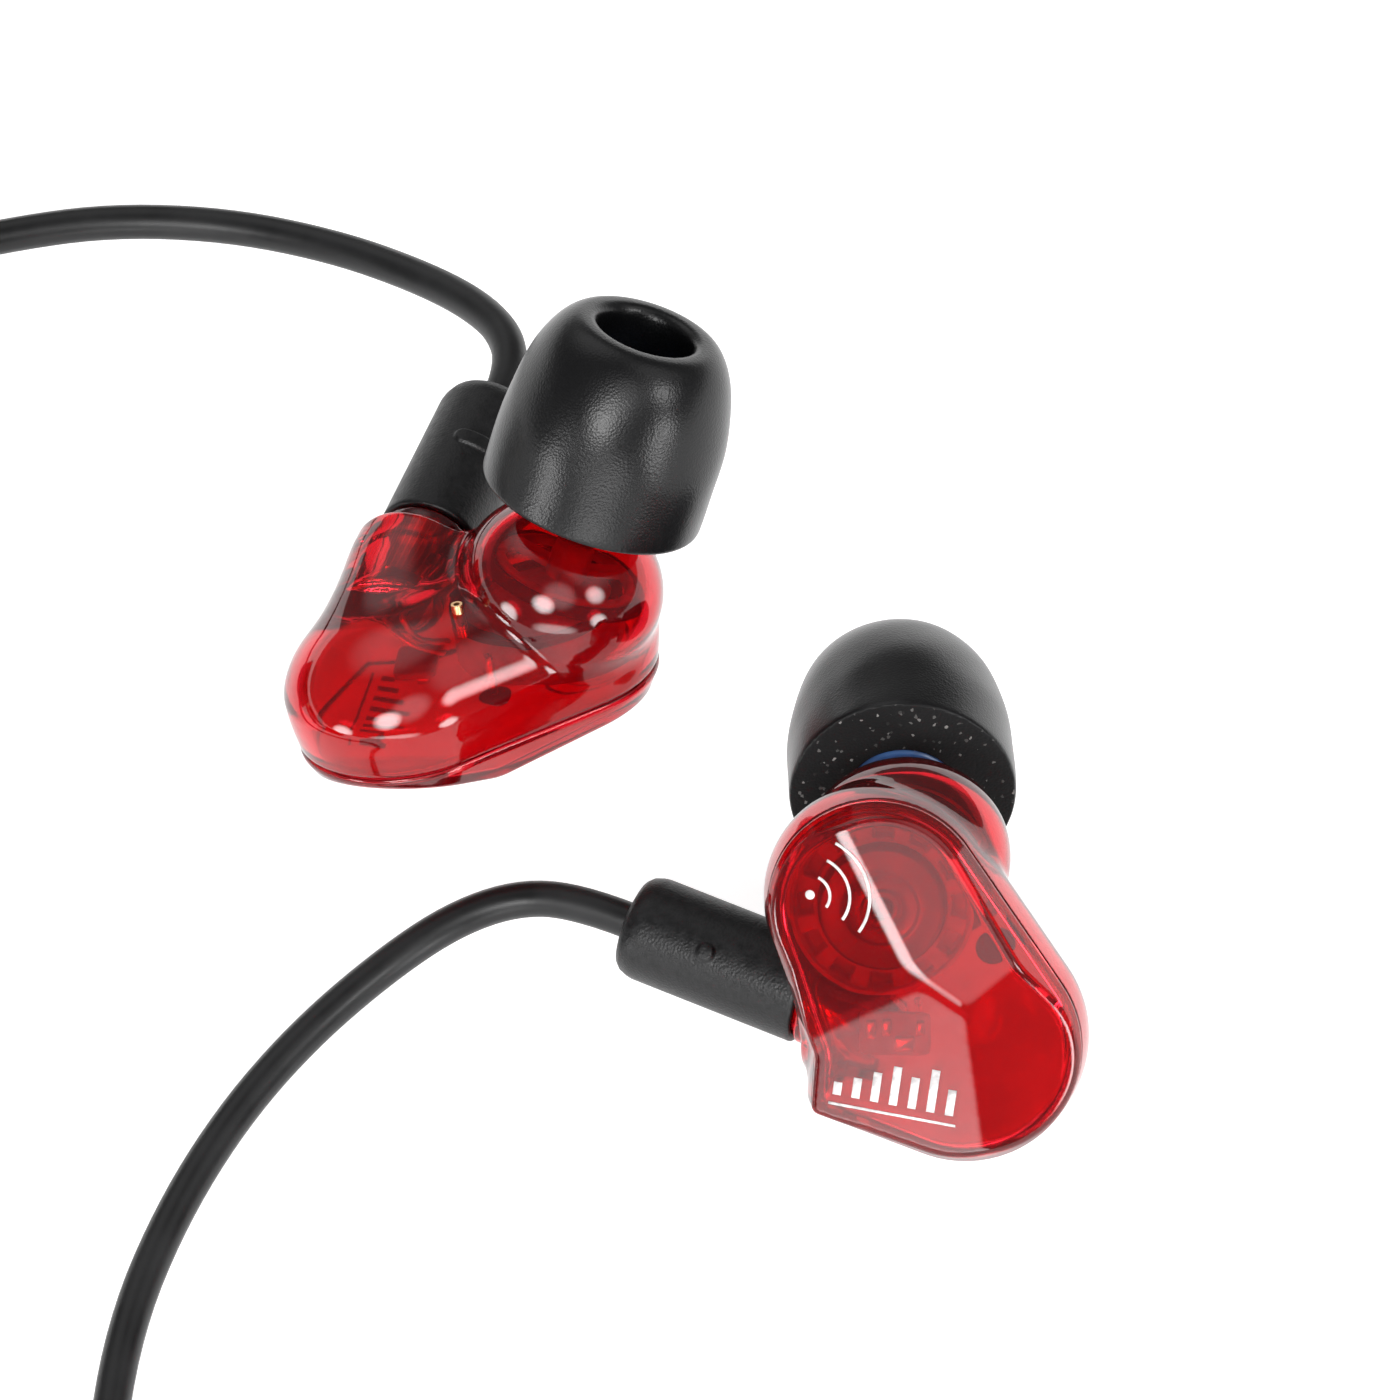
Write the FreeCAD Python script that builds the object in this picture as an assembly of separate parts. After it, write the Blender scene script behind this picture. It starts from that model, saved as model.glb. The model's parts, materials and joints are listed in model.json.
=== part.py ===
"""A pair of in-ear monitors with detachable cables, in millimetres, +Z up, lying on a surface at Z = 0.

Each monitor is drawn once, in its own axes: u across the faceplate, v along it towards the round end,
and w out of the faceplate, with w = 0 at the seam between shell and faceplate. The left one is the
mirror image of the right one. A monitor is placed by the point where its cable leaves the barrel.
"""
import FreeCAD, Part
import math
import os

V = FreeCAD.Vector

# ---- shell and faceplate -------------------------------------------------------------------------
WALL = 0.8               # shell and faceplate wall
ROUND_END = (0.0, 0.1)   # centre of the round end of the outline
ROUND_R = 5.47
LOW_END = (4.4, -7.0)    # centre of the lower end of the outline
LOW_R = 5.85
WING = (-2.75, -10.05)   # centre of the small round at the wing's corner
WING_R = 0.5
NOTCH = (-4.6, -7.6)     # centre of the hollow round between wing and round end
NOTCH_R = 1.5
BULGE = 0.35             # how far the shell stands proud of the seam
BULGE_W = -2.6           # depth of that widest place
BACK_W = -6.8            # depth of the shell's back
BACK_SHARE = 0.74        # size of the back's outline as a share of the seam's
BACK_MIDDLE = (2.0, -3.4)
RIM_H = 0.35             # straight rim of the faceplate
CROWN_H = 3.2            # height of the blank that the facets are cut from
CROWN_INSET = 1.5        # how far the blank leans in at that height
LIP_H = 0.7              # locating lip under the faceplate
LIP_T = 0.5
LIP_FIT = 0.05
# facets of the faceplate: height w = c + a u + b v
FACETS = ((2.216, 0.253, 0.001), (2.404, -0.079, -0.171), (2.861, 0.157, 0.176), (4.787, -0.315, 0.118))

# ---- nozzle and ear tip ----------------------------------------------------------------------------
TIP_SEAT = (0.86, 3.63, -10.0)      # centre of the tip's rear face
NOZZLE_DIR = (-0.068, 0.428, -0.901)
STAGE_R = 5.3            # round stage that the nozzle rises from
STAGE_BACK = 5.1         # distance of the stage's widest circle behind the tip seat
STAGE_NECK = 0.5         # distance of the stage's front behind the tip seat
NOZZLE_R = 2.4
NOZZLE_BORE_R = 1.6
NOZZLE_REACH = 4.6       # how far the nozzle reaches into the tip
MESH_T = 0.25
TIP_R = 6.0
TIP_LEN = 9.9
TIP_NOSE_R = 3.3         # radius of the tip's flat front
CORE_WALL = 0.45
CORE_LEN = 6.5
CORE_FIT = 0.05

# ---- socket and connector --------------------------------------------------------------------------
MOUTH = (-3.64, -5.84, -6.18)       # centre of the barrel's mouth
SOCKET_DIR = (0.923, -0.294, 0.247)
LOBE_R = 3.45
LOBE_START = 1.3         # from the mouth to the lobe
LOBE_LEN = 7.0
COLLAR_R = 2.6
SPIGOT_R = 2.2
SPIGOT_DEPTH = 0.8       # how far the spigot stands in the barrel's mouth
JACK_R = 1.75
JACK_LEN = 5.2
JACK_WALL = 0.3
JACK_CAP = 0.4           # closed end of the jack's insulator
BARREL_R = 2.75
BARREL_LEN = 10.0
BARREL_ROUND = 0.8
MOUTH_WALL = 0.45
MOUTH_DEPTH = 1.0
PLUG_R = JACK_R - 0.55   # outer contact of the connector's plug
PLUG_WALL = 0.25
PIN_R = 0.3
PIN_REACH = 3.6          # how far the centre pin reaches past the mouth
RING_T = 0.16            # radial thickness of the snap ring
RING_W = 0.5
RING_AT = 1.6            # from the mouth to the snap ring
CONTACT_FIT = 0.04
BARREL_ROOM = 0.12       # gap round the barrel, which turns on the plug

# ---- driver, on an axis along w ----------------------------------------------------------------------
DRIVER_AT = (0.2, -0.2)
DRIVER_R = 4.6
DRIVER_REAR = -1.0       # w of the rear of the yoke
BASKET_T = 0.4
BASKET_H = 2.0
YOKE_R = DRIVER_R - 1.4
YOKE_WALL = 0.4
YOKE_H = 2.3
MAGNET_R = YOKE_R - 0.9
MAGNET_H = 1.2
PLATE_H = 0.5
COIL_R = MAGNET_R + 0.22  # inner radius of the voice coil
COIL_T = 0.14
COIL_H = 1.1
DIAPHRAGM_R = DRIVER_R - 0.6
DIAPHRAGM_T = 0.16
EXCURSION = 0.1
GASKET_W = 0.6
GASKET_T = 0.35
VENTS = 12
WIRE_R = 0.16
VENT_AT = (5.2, -3.4)    # small brass vent tube through the shell's back
VENT_R = 0.3
VENT_LEN = 2.0

# ---- placing of the two monitors -------------------------------------------------------------------
RIGHT_EXIT = (-2.58, -7.45, 3.36)
RIGHT_TURN = FreeCAD.Rotation(-2.55, -2.57, 44.77)
LEFT_EXIT = (-10.01, 21.9, 7.02)
LEFT_TURN = FreeCAD.Rotation(85.53, 27.29, 169.54)

# ---- cable: two branches, their splitter and slider, and the main cable to the plug --------------------
BRANCH_D = 1.9
MAIN_D = 2.0
TURN_GAP = 0.05          # spare room between two turns of a coil
COIL_LIFT = 0.4          # the coils lie on their ties
BRANCH_COIL_AT = (-54.8, 20.3)
BRANCH_COIL_IN = 8.6     # radius of the middle of the innermost turn
BRANCH_COLUMNS = 2
BRANCH_LEVELS = 2
MAIN_COIL_AT = (-82.45, -36.0)
MAIN_COIL_IN = 9.0
MAIN_COLUMNS = 3
MAIN_LEVELS = 4
TIE_T = 0.35
TIE_FIT = 0.04
TIE_ANGLE = 16           # degrees of the coil that a tie covers
PAIR_X = -67.3           # middle between the two branches where they run side by side
PAIR_Z = 1.6
PAIR_GAP = 2.2           # from one branch's middle to the other's
SLIDER_L = 5.0
SLIDER_Y = -2.0          # end of the slider nearer the ears
SLIDER_FIT = 0.1
SPLIT_Y = -17.0          # end of the splitter nearer the ears
SPLIT_L = 11.0
CLIP_W = 6.4             # width and height of the slider and the splitter
CLIP_H = 3.2
PLUG_X = -90.1
PLUG_Z = 3.2
RELIEF_Y = -13.0
RELIEF_L = 8.0
HOUSING_L = 16.0
HOUSING_R = 3.1
JACK_PLUG_R = 1.75       # the 3.5 mm plug
SLEEVE_L = 6.2
RING_L = 1.9
GAP_L = 0.7
POINT_L = 3.8

# Routes of the free cable, chosen by hand. Each coil's turns lie between two of them.
RIGHT_OUT = [
    RIGHT_EXIT, (-5.2, -6.23, 3.3), (-8.3, -5.5, 2.65), (-11.7, -6.3, 1.8), (-15.3, -8.75, 1.15),
    (-19.3, -12.7, 0.95), (-22.8, -17.5, 0.95), (-25.7, -23.2, 0.95), (-27.8, -29.6, 0.95),
    (-28.6, -37.2, 0.95), (-28.5, -43.8, 0.95), (-32.2, -47.55, 0.95), (-37.5, -47.55, 0.95),
    (-41.2, -43.8, 0.95), (-41.4, -35.7, 0.95), (-41.0, -21.7, 0.95), (-41.1, -7.7, 0.95),
    (-41.6, 4.6, 1.6), (-42.1, 12.5, 4.4), (-42.9, 20.8, 5.4), (-46.9, 26.5, 5.3),
]
RIGHT_BACK = [
    (-62.7, 27.5, 7.2), (-66.5, 22.5, 7.0), (-67.1, 15.5, 5.0), (-66.6, 8.5, 2.9),
    (-66.2, 1.0, 1.68), (-66.2, -8.5, 1.61), (-66.2, -17.0, 1.6),
]
LEFT_OUT = [
    LEFT_EXIT, (-9.1, 24.6, 6.55), (-9.4, 27.6, 5.9), (-11.2, 30.5, 4.7), (-14.3, 33.4, 3.3),
    (-18.9, 36.4, 1.9), (-24.8, 38.5, 1.05), (-31.2, 38.9, 0.95), (-37.0, 37.9, 0.95),
    (-43.6, 36.0, 0.95), (-50.3, 33.7, 1.1), (-56.9, 31.6, 1.35), (-61.9, 27.4, 1.35),
]
LEFT_BACK = [
    (-63.3, 26.0, 3.3), (-67.3, 20.6, 3.2), (-68.5, 12.0, 2.1), (-68.4, 2.0, 1.65),
    (-68.4, -8.5, 1.61), (-68.4, -17.0, 1.6),
]
MAIN_OUT = [
    (-67.3, -28.0, 1.6), (-67.3, -32.6, 1.6), (-67.8, -38.5, 1.4), (-70.9, -44.0, 1.4), (-76.1, -45.6, 1.4),
]
MAIN_BACK = [
    (-94.1, -36.6, 7.55), (-96.0, -30.6, 7.2), (-93.7, -24.4, 5.4), (PLUG_X, -18.6, PLUG_Z),
    (PLUG_X, RELIEF_Y, PLUG_Z),
]


def unit(v):
    v = V(*v)
    return v.normalize()


def on_axis(origin, direction):
    """A placement that carries +Z to the direction and the zero point to the origin."""
    return FreeCAD.Placement(V(*origin), FreeCAD.Rotation(V(0, 0, 1), unit(direction)))


def turned(points, origin, direction):
    """A solid of revolution about an axis, from (distance along the axis, radius) points."""
    wire = Part.makePolygon([V(r, 0, s) for s, r in points] + [V(points[0][1], 0, points[0][0])])
    solid = Part.Face(wire).revolve(V(0, 0, 0), V(0, 0, 1), 360)
    solid.Placement = on_axis(origin, direction)
    return solid


def rod(origin, direction, start, end, radius):
    return turned([(start, 0), (start, radius), (end, radius), (end, 0)], origin, direction)


def pipe(origin, direction, start, end, outer, inner):
    return turned([(start, inner), (start, outer), (end, outer), (end, inner)], origin, direction)


def belt(circles, w):
    """The closed wire that runs round the circles (u, v, radius); a negative radius is passed on its
    other side, as a hollow round."""
    count = len(circles)
    ends = []
    for i in range(count):
        (x0, y0, r0), (x1, y1, r1) = circles[i], circles[(i + 1) % count]
        span = math.hypot(x1 - x0, y1 - y0)
        heading = math.atan2(y1 - y0, x1 - x0)
        normal = heading - math.pi / 2 + math.asin((r0 - r1) / span)
        n = V(math.cos(normal), math.sin(normal), 0)
        ends.append((V(x0, y0, w) + n * r0, V(x1, y1, w) + n * r1, normal))
    edges = []
    for i in range(count):
        x, y, r = circles[i]
        before, after = ends[i - 1], ends[i]
        turn = (after[2] - before[2] + math.pi) % (2 * math.pi) - math.pi
        if turn * r < 0:
            turn += math.copysign(2 * math.pi, r)
        half = before[2] + turn / 2
        middle = V(x, y, w) + V(math.cos(half), math.sin(half), 0) * r
        edges.append(Part.Arc(before[1], middle, after[0]).toShape())
        edges.append(Part.LineSegment(after[0], after[1]).toShape())
    return Part.Wire(edges)


def outline(w, inset=0.0, lean=0.0):
    """The seam's outline at depth w, drawn in by inset, and its two round ends by lean as well."""
    small = inset + 0.15 * lean
    corner = WING_R / 2 if small > WING_R / 2 else WING_R - small
    shift = (small - WING_R + corner) * 1.3
    return belt([
        (*ROUND_END, ROUND_R - inset - lean),
        (*NOTCH, -NOTCH_R - small),
        (WING[0] + shift * 0.8, WING[1] + shift * 0.6, corner),
        (*LOW_END, LOW_R - inset - lean),
    ], w)


def back_outline(w, inset=0.0):
    """The smaller outline at the shell's back: the seam's, drawn towards its middle."""
    k = BACK_SHARE - inset / LOW_R
    x, y = BACK_MIDDLE
    circles = ((*ROUND_END, ROUND_R), (*NOTCH, -NOTCH_R), (*WING, WING_R * 2), (*LOW_END, LOW_R))
    return belt([(x + (u - x) * k, y + (v - y) * k, r * k) for u, v, r in circles], w)


def pot(inset):
    """The body of the shell: seam outline, widest outline and back outline joined by straight walls."""
    wires = [outline(0, inset), outline(BULGE_W, inset - BULGE), back_outline(BACK_W + inset, inset)]
    return Part.makeLoft(wires, True, True)


def stage(inset):
    """The round stage under the nozzle, domed at its front."""
    r = STAGE_R - inset
    top = -STAGE_NECK - inset
    deep = -STAGE_BACK
    start = deep - 2.2 + inset
    rise = top - deep
    arc = [(deep + rise * math.sin(a), r * math.cos(a)) for a in (0.0, 0.35, 0.7, 1.0, 1.3)]
    points = [(start, 0), (start, r * 0.9), (start + 0.8, r)] + arc + [(top, 0)]
    return turned(points, TIP_SEAT, NOZZLE_DIR)


def lobe():
    """The bulge round the socket, with the collar and the spigot in front of it."""
    end = LOBE_START + LOBE_LEN
    points = [
        (-SPIGOT_DEPTH, 0), (-SPIGOT_DEPTH, SPIGOT_R), (0.15, SPIGOT_R), (0.15, COLLAR_R),
        (LOBE_START, COLLAR_R), (LOBE_START, LOBE_R - 0.4), (LOBE_START + 0.5, LOBE_R),
        (end - 1.5, LOBE_R), (end, LOBE_R * 0.6), (end, 0),
    ]
    return turned(points, MOUTH, SOCKET_DIR)


def jack_back():
    return JACK_LEN - SPIGOT_DEPTH


def jack_hole():
    """The hole that the jack sits in, open to the inside of the shell."""
    return rod(MOUTH, SOCKET_DIR, -SPIGOT_DEPTH - 1, jack_back() + JACK_CAP + 0.6, JACK_R)


def jack_wall():
    """The solid sleeve that is left round the jack."""
    return rod(MOUTH, SOCKET_DIR, -SPIGOT_DEPTH - 1, jack_back(), JACK_R + 0.5)


def barrel_room():
    """The space that the barrel turns in."""
    mouth = MOUTH_DEPTH + BARREL_ROOM
    space = rod(MOUTH, SOCKET_DIR, -BARREL_LEN, BARREL_ROOM, BARREL_R + BARREL_ROOM)
    return space.cut(rod(MOUTH, SOCKET_DIR, -mouth, mouth, BARREL_R - MOUTH_WALL - BARREL_ROOM / 2))


def above(height):
    """A block of everything over the plane w = height, kept wide enough for one monitor."""
    return Part.makeBox(80, 80, 40, V(-40, -40, height))


def driver_room():
    depth = DRIVER_REAR - BASKET_H - 1.9
    return Part.makeCylinder(DRIVER_R + 0.03, -depth, V(*DRIVER_AT, depth))


def shell_body():
    outer = pot(0).fuse([stage(0), lobe(), rod(TIP_SEAT, NOZZLE_DIR, -3, NOZZLE_REACH, NOZZLE_R)])
    inner = pot(WALL).fuse([stage(WALL), driver_room()])
    hollow = inner.cut(jack_wall())
    bore = rod(TIP_SEAT, NOZZLE_DIR, -3.5, NOZZLE_REACH + 1, NOZZLE_BORE_R)
    step = rod(TIP_SEAT, NOZZLE_DIR, NOZZLE_REACH - MESH_T, NOZZLE_REACH + 1, NOZZLE_R - 0.3)
    vent = Part.makeCylinder(VENT_R, 8, V(*VENT_AT, BACK_W - 1))
    return outer.cut([hollow, bore, step, jack_hole(), barrel_room(), vent, above(0)]).removeSplitter()


def facet_block(plane, drop):
    """Everything above one facet plane lowered by drop."""
    c, a, b = plane
    block = Part.makeBox(80, 80, 30, V(-40, -40, 0))
    block.Placement = FreeCAD.Placement(
        V(0, 0, c - drop), FreeCAD.Rotation(V(0, 0, 1), unit((-a, -b, 1))))
    return block


def crown(inset):
    """The faceted blank, drawn in by inset on every side."""
    low = Part.Face(outline(0, inset)).extrude(V(0, 0, RIM_H))
    high = Part.makeLoft([outline(RIM_H, inset), outline(CROWN_H, inset, CROWN_INSET)], True, True)
    cuts = [facet_block(plane, inset) for plane in FACETS]
    return low.fuse(high).cut(cuts)


def faceplate():
    plate = crown(0).cut(crown(WALL))
    outer = outline(-LIP_H, WALL + LIP_FIT)
    inner = outline(-LIP_H, WALL + LIP_FIT + LIP_T)
    lip = Part.Face(outer).extrude(V(0, 0, LIP_H + 0.3)).cut(Part.Face(inner).extrude(V(0, 0, LIP_H + 0.3)))
    lip = lip.common(crown(0).fuse(Part.makeBox(80, 80, LIP_H, V(-40, -40, -LIP_H))))
    return plate.fuse(lip).cut([jack_wall(), barrel_room()]).removeSplitter()


def driver():
    """The moving-coil driver, rear towards the faceplate, as separate pieces."""
    x, y = DRIVER_AT
    rear = DRIVER_REAR

    def drum(top, height, outer, inner=0.0):
        base = V(x, y, top - height)
        solid = Part.makeCylinder(outer, height, base)
        return solid.cut(Part.makeCylinder(inner, height, base)) if inner else solid

    yoke = drum(rear, YOKE_H, YOKE_R).cut(drum(rear - YOKE_WALL, YOKE_H, YOKE_R - YOKE_WALL))
    yoke = yoke.cut(drum(rear, YOKE_WALL, 0.5))
    magnet = drum(rear - YOKE_WALL, MAGNET_H, MAGNET_R, 0.5)
    plate = drum(rear - YOKE_WALL - MAGNET_H, PLATE_H, MAGNET_R, 0.5)
    shelf = rear - 0.9
    basket = drum(shelf, BASKET_T, DRIVER_R, YOKE_R)
    basket = basket.fuse(drum(shelf, BASKET_H, DRIVER_R, DRIVER_R - 0.35))
    slot = Part.makeBox(0.7, 0.9, 1.0, V(-0.35, YOKE_R + 0.2, shelf - 0.6))
    for i in range(VENTS):
        cut = slot.copy()
        cut.rotate(V(0, 0, 0), V(0, 0, 1), 360 * i / VENTS)
        cut.translate(V(x, y, 0))
        basket = basket.cut(cut)
    cone = rear - YOKE_H - EXCURSION - 0.2
    coil = drum(cone + COIL_H, COIL_H, COIL_R + COIL_T, COIL_R)
    diaphragm = drum(cone, DIAPHRAGM_T, DIAPHRAGM_R)
    gasket = drum(shelf - BASKET_H, GASKET_T, DRIVER_R, DRIVER_R - GASKET_W)
    return {
        "driver_yoke": yoke, "driver_magnet": magnet, "driver_pole_plate": plate,
        "driver_basket": basket, "voice_coil": coil, "driver_diaphragm": diaphragm,
        "driver_gasket": gasket,
    }


def jack():
    """The coaxial socket held in the lobe."""
    front, back = -SPIGOT_DEPTH, jack_back()
    inner = JACK_R - JACK_WALL
    groove = RING_AT - 0.1
    seat = RING_AT + RING_W + 0.5
    shell = turned([
        (front, PLUG_R + 0.1), (front, JACK_R), (back, JACK_R), (back, inner),
        (groove, inner), (groove, PLUG_R + 0.1),
    ], MOUTH, SOCKET_DIR)
    insulator = turned([
        (seat, PIN_R + 0.35), (seat, inner), (back + JACK_CAP, inner), (back + JACK_CAP, 0),
        (back - 0.1, 0), (back - 0.1, PIN_R + 0.35),
    ], MOUTH, SOCKET_DIR)
    contact = pipe(MOUTH, SOCKET_DIR, seat + 0.05, back - 0.15, PIN_R + 0.3, PIN_R + CONTACT_FIT)
    return {"jack_shell": shell, "jack_insulator": insulator, "jack_contact": contact}


def connector():
    """The barrel on the cable's end, with the plug that snaps into the jack."""
    r, length = BARREL_R, BARREL_LEN
    ends = [(-length + BARREL_ROUND * (1 - math.sin(a)), r - BARREL_ROUND * (1 - math.cos(a)))
            for a in (math.pi / 2, 1.2, 0.8, 0.4, 0.0)]
    mouth = r - MOUTH_WALL
    barrel = turned(
        [(-length, 0)] + ends + [(0, r), (0, mouth), (-MOUTH_DEPTH, mouth), (-MOUTH_DEPTH, 0)],
        MOUTH, SOCKET_DIR)
    root = -MOUTH_DEPTH - 3.0
    barrel = barrel.cut(rod(MOUTH, SOCKET_DIR, root, 0, PLUG_R))
    lining = PLUG_R - PLUG_WALL
    floor = lining + 0.08
    start, end, front = RING_AT - 0.05, RING_AT + RING_W + 0.05, RING_AT + RING_W + 0.2
    shell = turned([
        (root, lining), (root, PLUG_R), (start, PLUG_R), (start, floor),
        (end, floor), (end, PLUG_R), (front, PLUG_R), (front, lining),
    ], MOUTH, SOCKET_DIR)
    insulator = pipe(MOUTH, SOCKET_DIR, root, front - 0.1, lining, PIN_R)
    pin = rod(MOUTH, SOCKET_DIR, root, PIN_REACH, PIN_R)
    inner = floor + CONTACT_FIT
    snap = pipe(MOUTH, SOCKET_DIR, RING_AT, RING_AT + RING_W, inner + RING_T, inner)
    gap = Part.makeBox(0.5, 4, 2, V(-0.25, 0, 0))
    gap.Placement = on_axis(V(*MOUTH) + unit(SOCKET_DIR) * (RING_AT - 0.5), SOCKET_DIR)
    return {
        "connector_barrel": barrel, "plug_shell": shell, "plug_insulator": insulator,
        "plug_pin": pin, "snap_ring": snap.cut(gap),
    }


def ear_tip():
    inner = NOZZLE_R + CORE_FIT
    outer = inner + CORE_WALL
    profile = [(0, outer), (0, TIP_R - 0.15), (0.3, TIP_R)]
    for a in (0.25, 0.5, 0.75, 1.0, 1.25, math.pi / 2):
        profile.append((3.2 + (TIP_LEN - 3.2) * math.sin(a), TIP_NOSE_R + (TIP_R - TIP_NOSE_R) * math.cos(a)))
    profile += [(TIP_LEN, inner), (CORE_LEN, inner), (CORE_LEN, outer)]
    foam = turned(profile, TIP_SEAT, NOZZLE_DIR)
    core = pipe(TIP_SEAT, NOZZLE_DIR, 0, CORE_LEN, outer, inner)
    return {"foam_tip": foam, "tip_core": core}


def nozzle_mesh():
    disc = rod(TIP_SEAT, NOZZLE_DIR, NOZZLE_REACH - MESH_T, NOZZLE_REACH, NOZZLE_R - 0.3)
    holes = []
    for ring, count in ((0.0, 1), (0.55, 6), (1.1, 12)):
        for i in range(count):
            a = 2 * math.pi * i / count
            hole = Part.makeCylinder(0.16, 2, V(ring * math.cos(a), ring * math.sin(a), -1))
            hole.Placement = on_axis(V(*TIP_SEAT) + unit(NOZZLE_DIR) * NOZZLE_REACH, NOZZLE_DIR).multiply(
                hole.Placement)
            holes.append(hole)
    return disc.cut(holes)


def route_tube(points, radius):
    """A tube along straight runs joined by tangent arcs, and the arcs' radii. Each arc's radius is
    0.45 of the shorter run divided by the tangent of half the turn."""
    points = [V(*p) for p in points]
    edges, radii = [], []
    last = points[0]
    for a, b, c in zip(points, points[1:], points[2:]):
        d0, d1 = (b - a), (c - b)
        reach = 0.45 * min(d0.Length, d1.Length)
        half = d0.getAngle(d1) / 2
        radii.append(reach / math.tan(half))
        d0.normalize()
        d1.normalize()
        start, end = b - d0 * reach, b + d1 * reach
        towards = (d1 - d0).normalize()
        middle = b + towards * (radii[-1] / math.cos(half) - radii[-1])
        edges.append(Part.LineSegment(last, start).toShape())
        edges.append(Part.Arc(start, middle, end).toShape())
        last = end
    edges.append(Part.LineSegment(last, points[-1]).toShape())
    path = Part.Wire(edges)
    heading = points[1] - points[0]
    section = Part.Wire(Part.Circle(points[0], heading, radius).toShape())
    tube = path.makePipeShell([section], True, True)
    ideal = math.pi * radius ** 2 * path.Length
    print("route length %.1f, least radius %.2f, radii %s, volume ratio %.4f" % (
        path.Length, min(radii), ["%.1f" % r for r in radii], tube.Volume / ideal))
    return tube


def lead_wires():
    """Two fine wires from the back of the jack to the driver's basket."""
    tail = V(*MOUTH) + unit(SOCKET_DIR) * (jack_back() + JACK_CAP)
    side = unit(SOCKET_DIR).cross(V(0, 0, 1)).normalize()
    wires = []
    for sign in (-1, 1):
        start = tail + side * (0.5 * sign)
        away = start + unit(SOCKET_DIR) * 0.7
        end = V(DRIVER_AT[0] + 1.2 + 0.6 * sign, DRIVER_AT[1] - DRIVER_R - 0.3, DRIVER_REAR - 1.6)
        bend = (away + end) * 0.5 + V(0.6, -0.4, 0.2)
        wires.append(route_tube([start, away, bend, end], WIRE_R))
    return wires[0].fuse(wires[1])


def vent_tube():
    base = V(*VENT_AT, BACK_W - 0.2)
    return Part.makeCylinder(VENT_R, VENT_LEN, base).cut(Part.makeCylinder(VENT_R * 0.55, VENT_LEN, base))


def monitor():
    """Every piece of one right-hand monitor in its own axes."""
    pieces = {"shell_body": shell_body(), "faceplate": faceplate(), "nozzle_mesh": nozzle_mesh()}
    pieces.update(driver())
    pieces.update(jack())
    pieces.update({"lead_wires": lead_wires(), "vent_tube": vent_tube()})
    pieces.update(ear_tip())
    pieces.update(connector())
    return pieces


def placed(shape, turn, exit_point, mirrored):
    """A copy of the shape on the monitor whose cable leaves its barrel at exit_point."""
    leave = V(*MOUTH) - unit(SOCKET_DIR) * BARREL_LEN
    shape = shape.copy()
    if mirrored:
        shape = shape.mirror(V(0, 0, 0), V(1, 0, 0))
        leave.x = -leave.x
    place = FreeCAD.Placement(V(*exit_point) - turn.multVec(leave), turn)
    shape.Placement = place.multiply(shape.Placement)
    return shape


def coil_size(inner_turn, columns, levels, diameter):
    """Inner radius, outer radius and height of a coil of turns lying beside and on each other."""
    step = diameter + TURN_GAP
    return inner_turn - step / 2, inner_turn + step * (columns - 0.5), step * levels


def coil(middle, base, size):
    inner, outer, height = size
    at = V(*middle, base)
    return Part.makeCylinder(outer, height, at).cut(Part.makeCylinder(inner, height, at))


def tie(middle, base, size, angle):
    """A band round a coil's section, covering a few degrees of the coil."""
    inner, outer, height = size

    def section(gap):
        low, high = V(inner - gap, 0, base - gap), V(outer + gap, 0, base + height + gap)
        return Part.Face(Part.makePolygon([
            low, V(high.x, 0, low.z), high, V(low.x, 0, high.z), low]))

    face = section(TIE_FIT + TIE_T).cut(section(TIE_FIT))
    band = face.revolve(V(0, 0, 0), V(0, 0, 1), TIE_ANGLE)
    band.rotate(V(0, 0, 0), V(0, 0, 1), angle - TIE_ANGLE / 2)
    band.translate(V(*middle, 0))
    return band


def block(start, length):
    """A softly cornered bar across the pair of branches."""
    bar = Part.makeBox(CLIP_W, length, CLIP_H, V(PAIR_X - CLIP_W / 2, start - length, PAIR_Z - CLIP_H / 2))
    return bar.makeFillet(CLIP_H * 0.3, [e for e in bar.Edges if abs(e.tangentAt(0).y) > 0.9])


def clips():
    """The splitter, and the slider with a hole for each branch."""
    slider = block(SLIDER_Y, SLIDER_L)
    for side in (-1, 1):
        start = V(PAIR_X + side * PAIR_GAP / 2, SLIDER_Y - SLIDER_L - 1, PAIR_Z)
        slider = slider.cut(Part.makeCylinder(BRANCH_D / 2 + SLIDER_FIT, SLIDER_L + 2, start, V(0, 1, 0)))
    return {"chin_slider": slider, "y_splitter": block(SPLIT_Y, SPLIT_L)}


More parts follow.
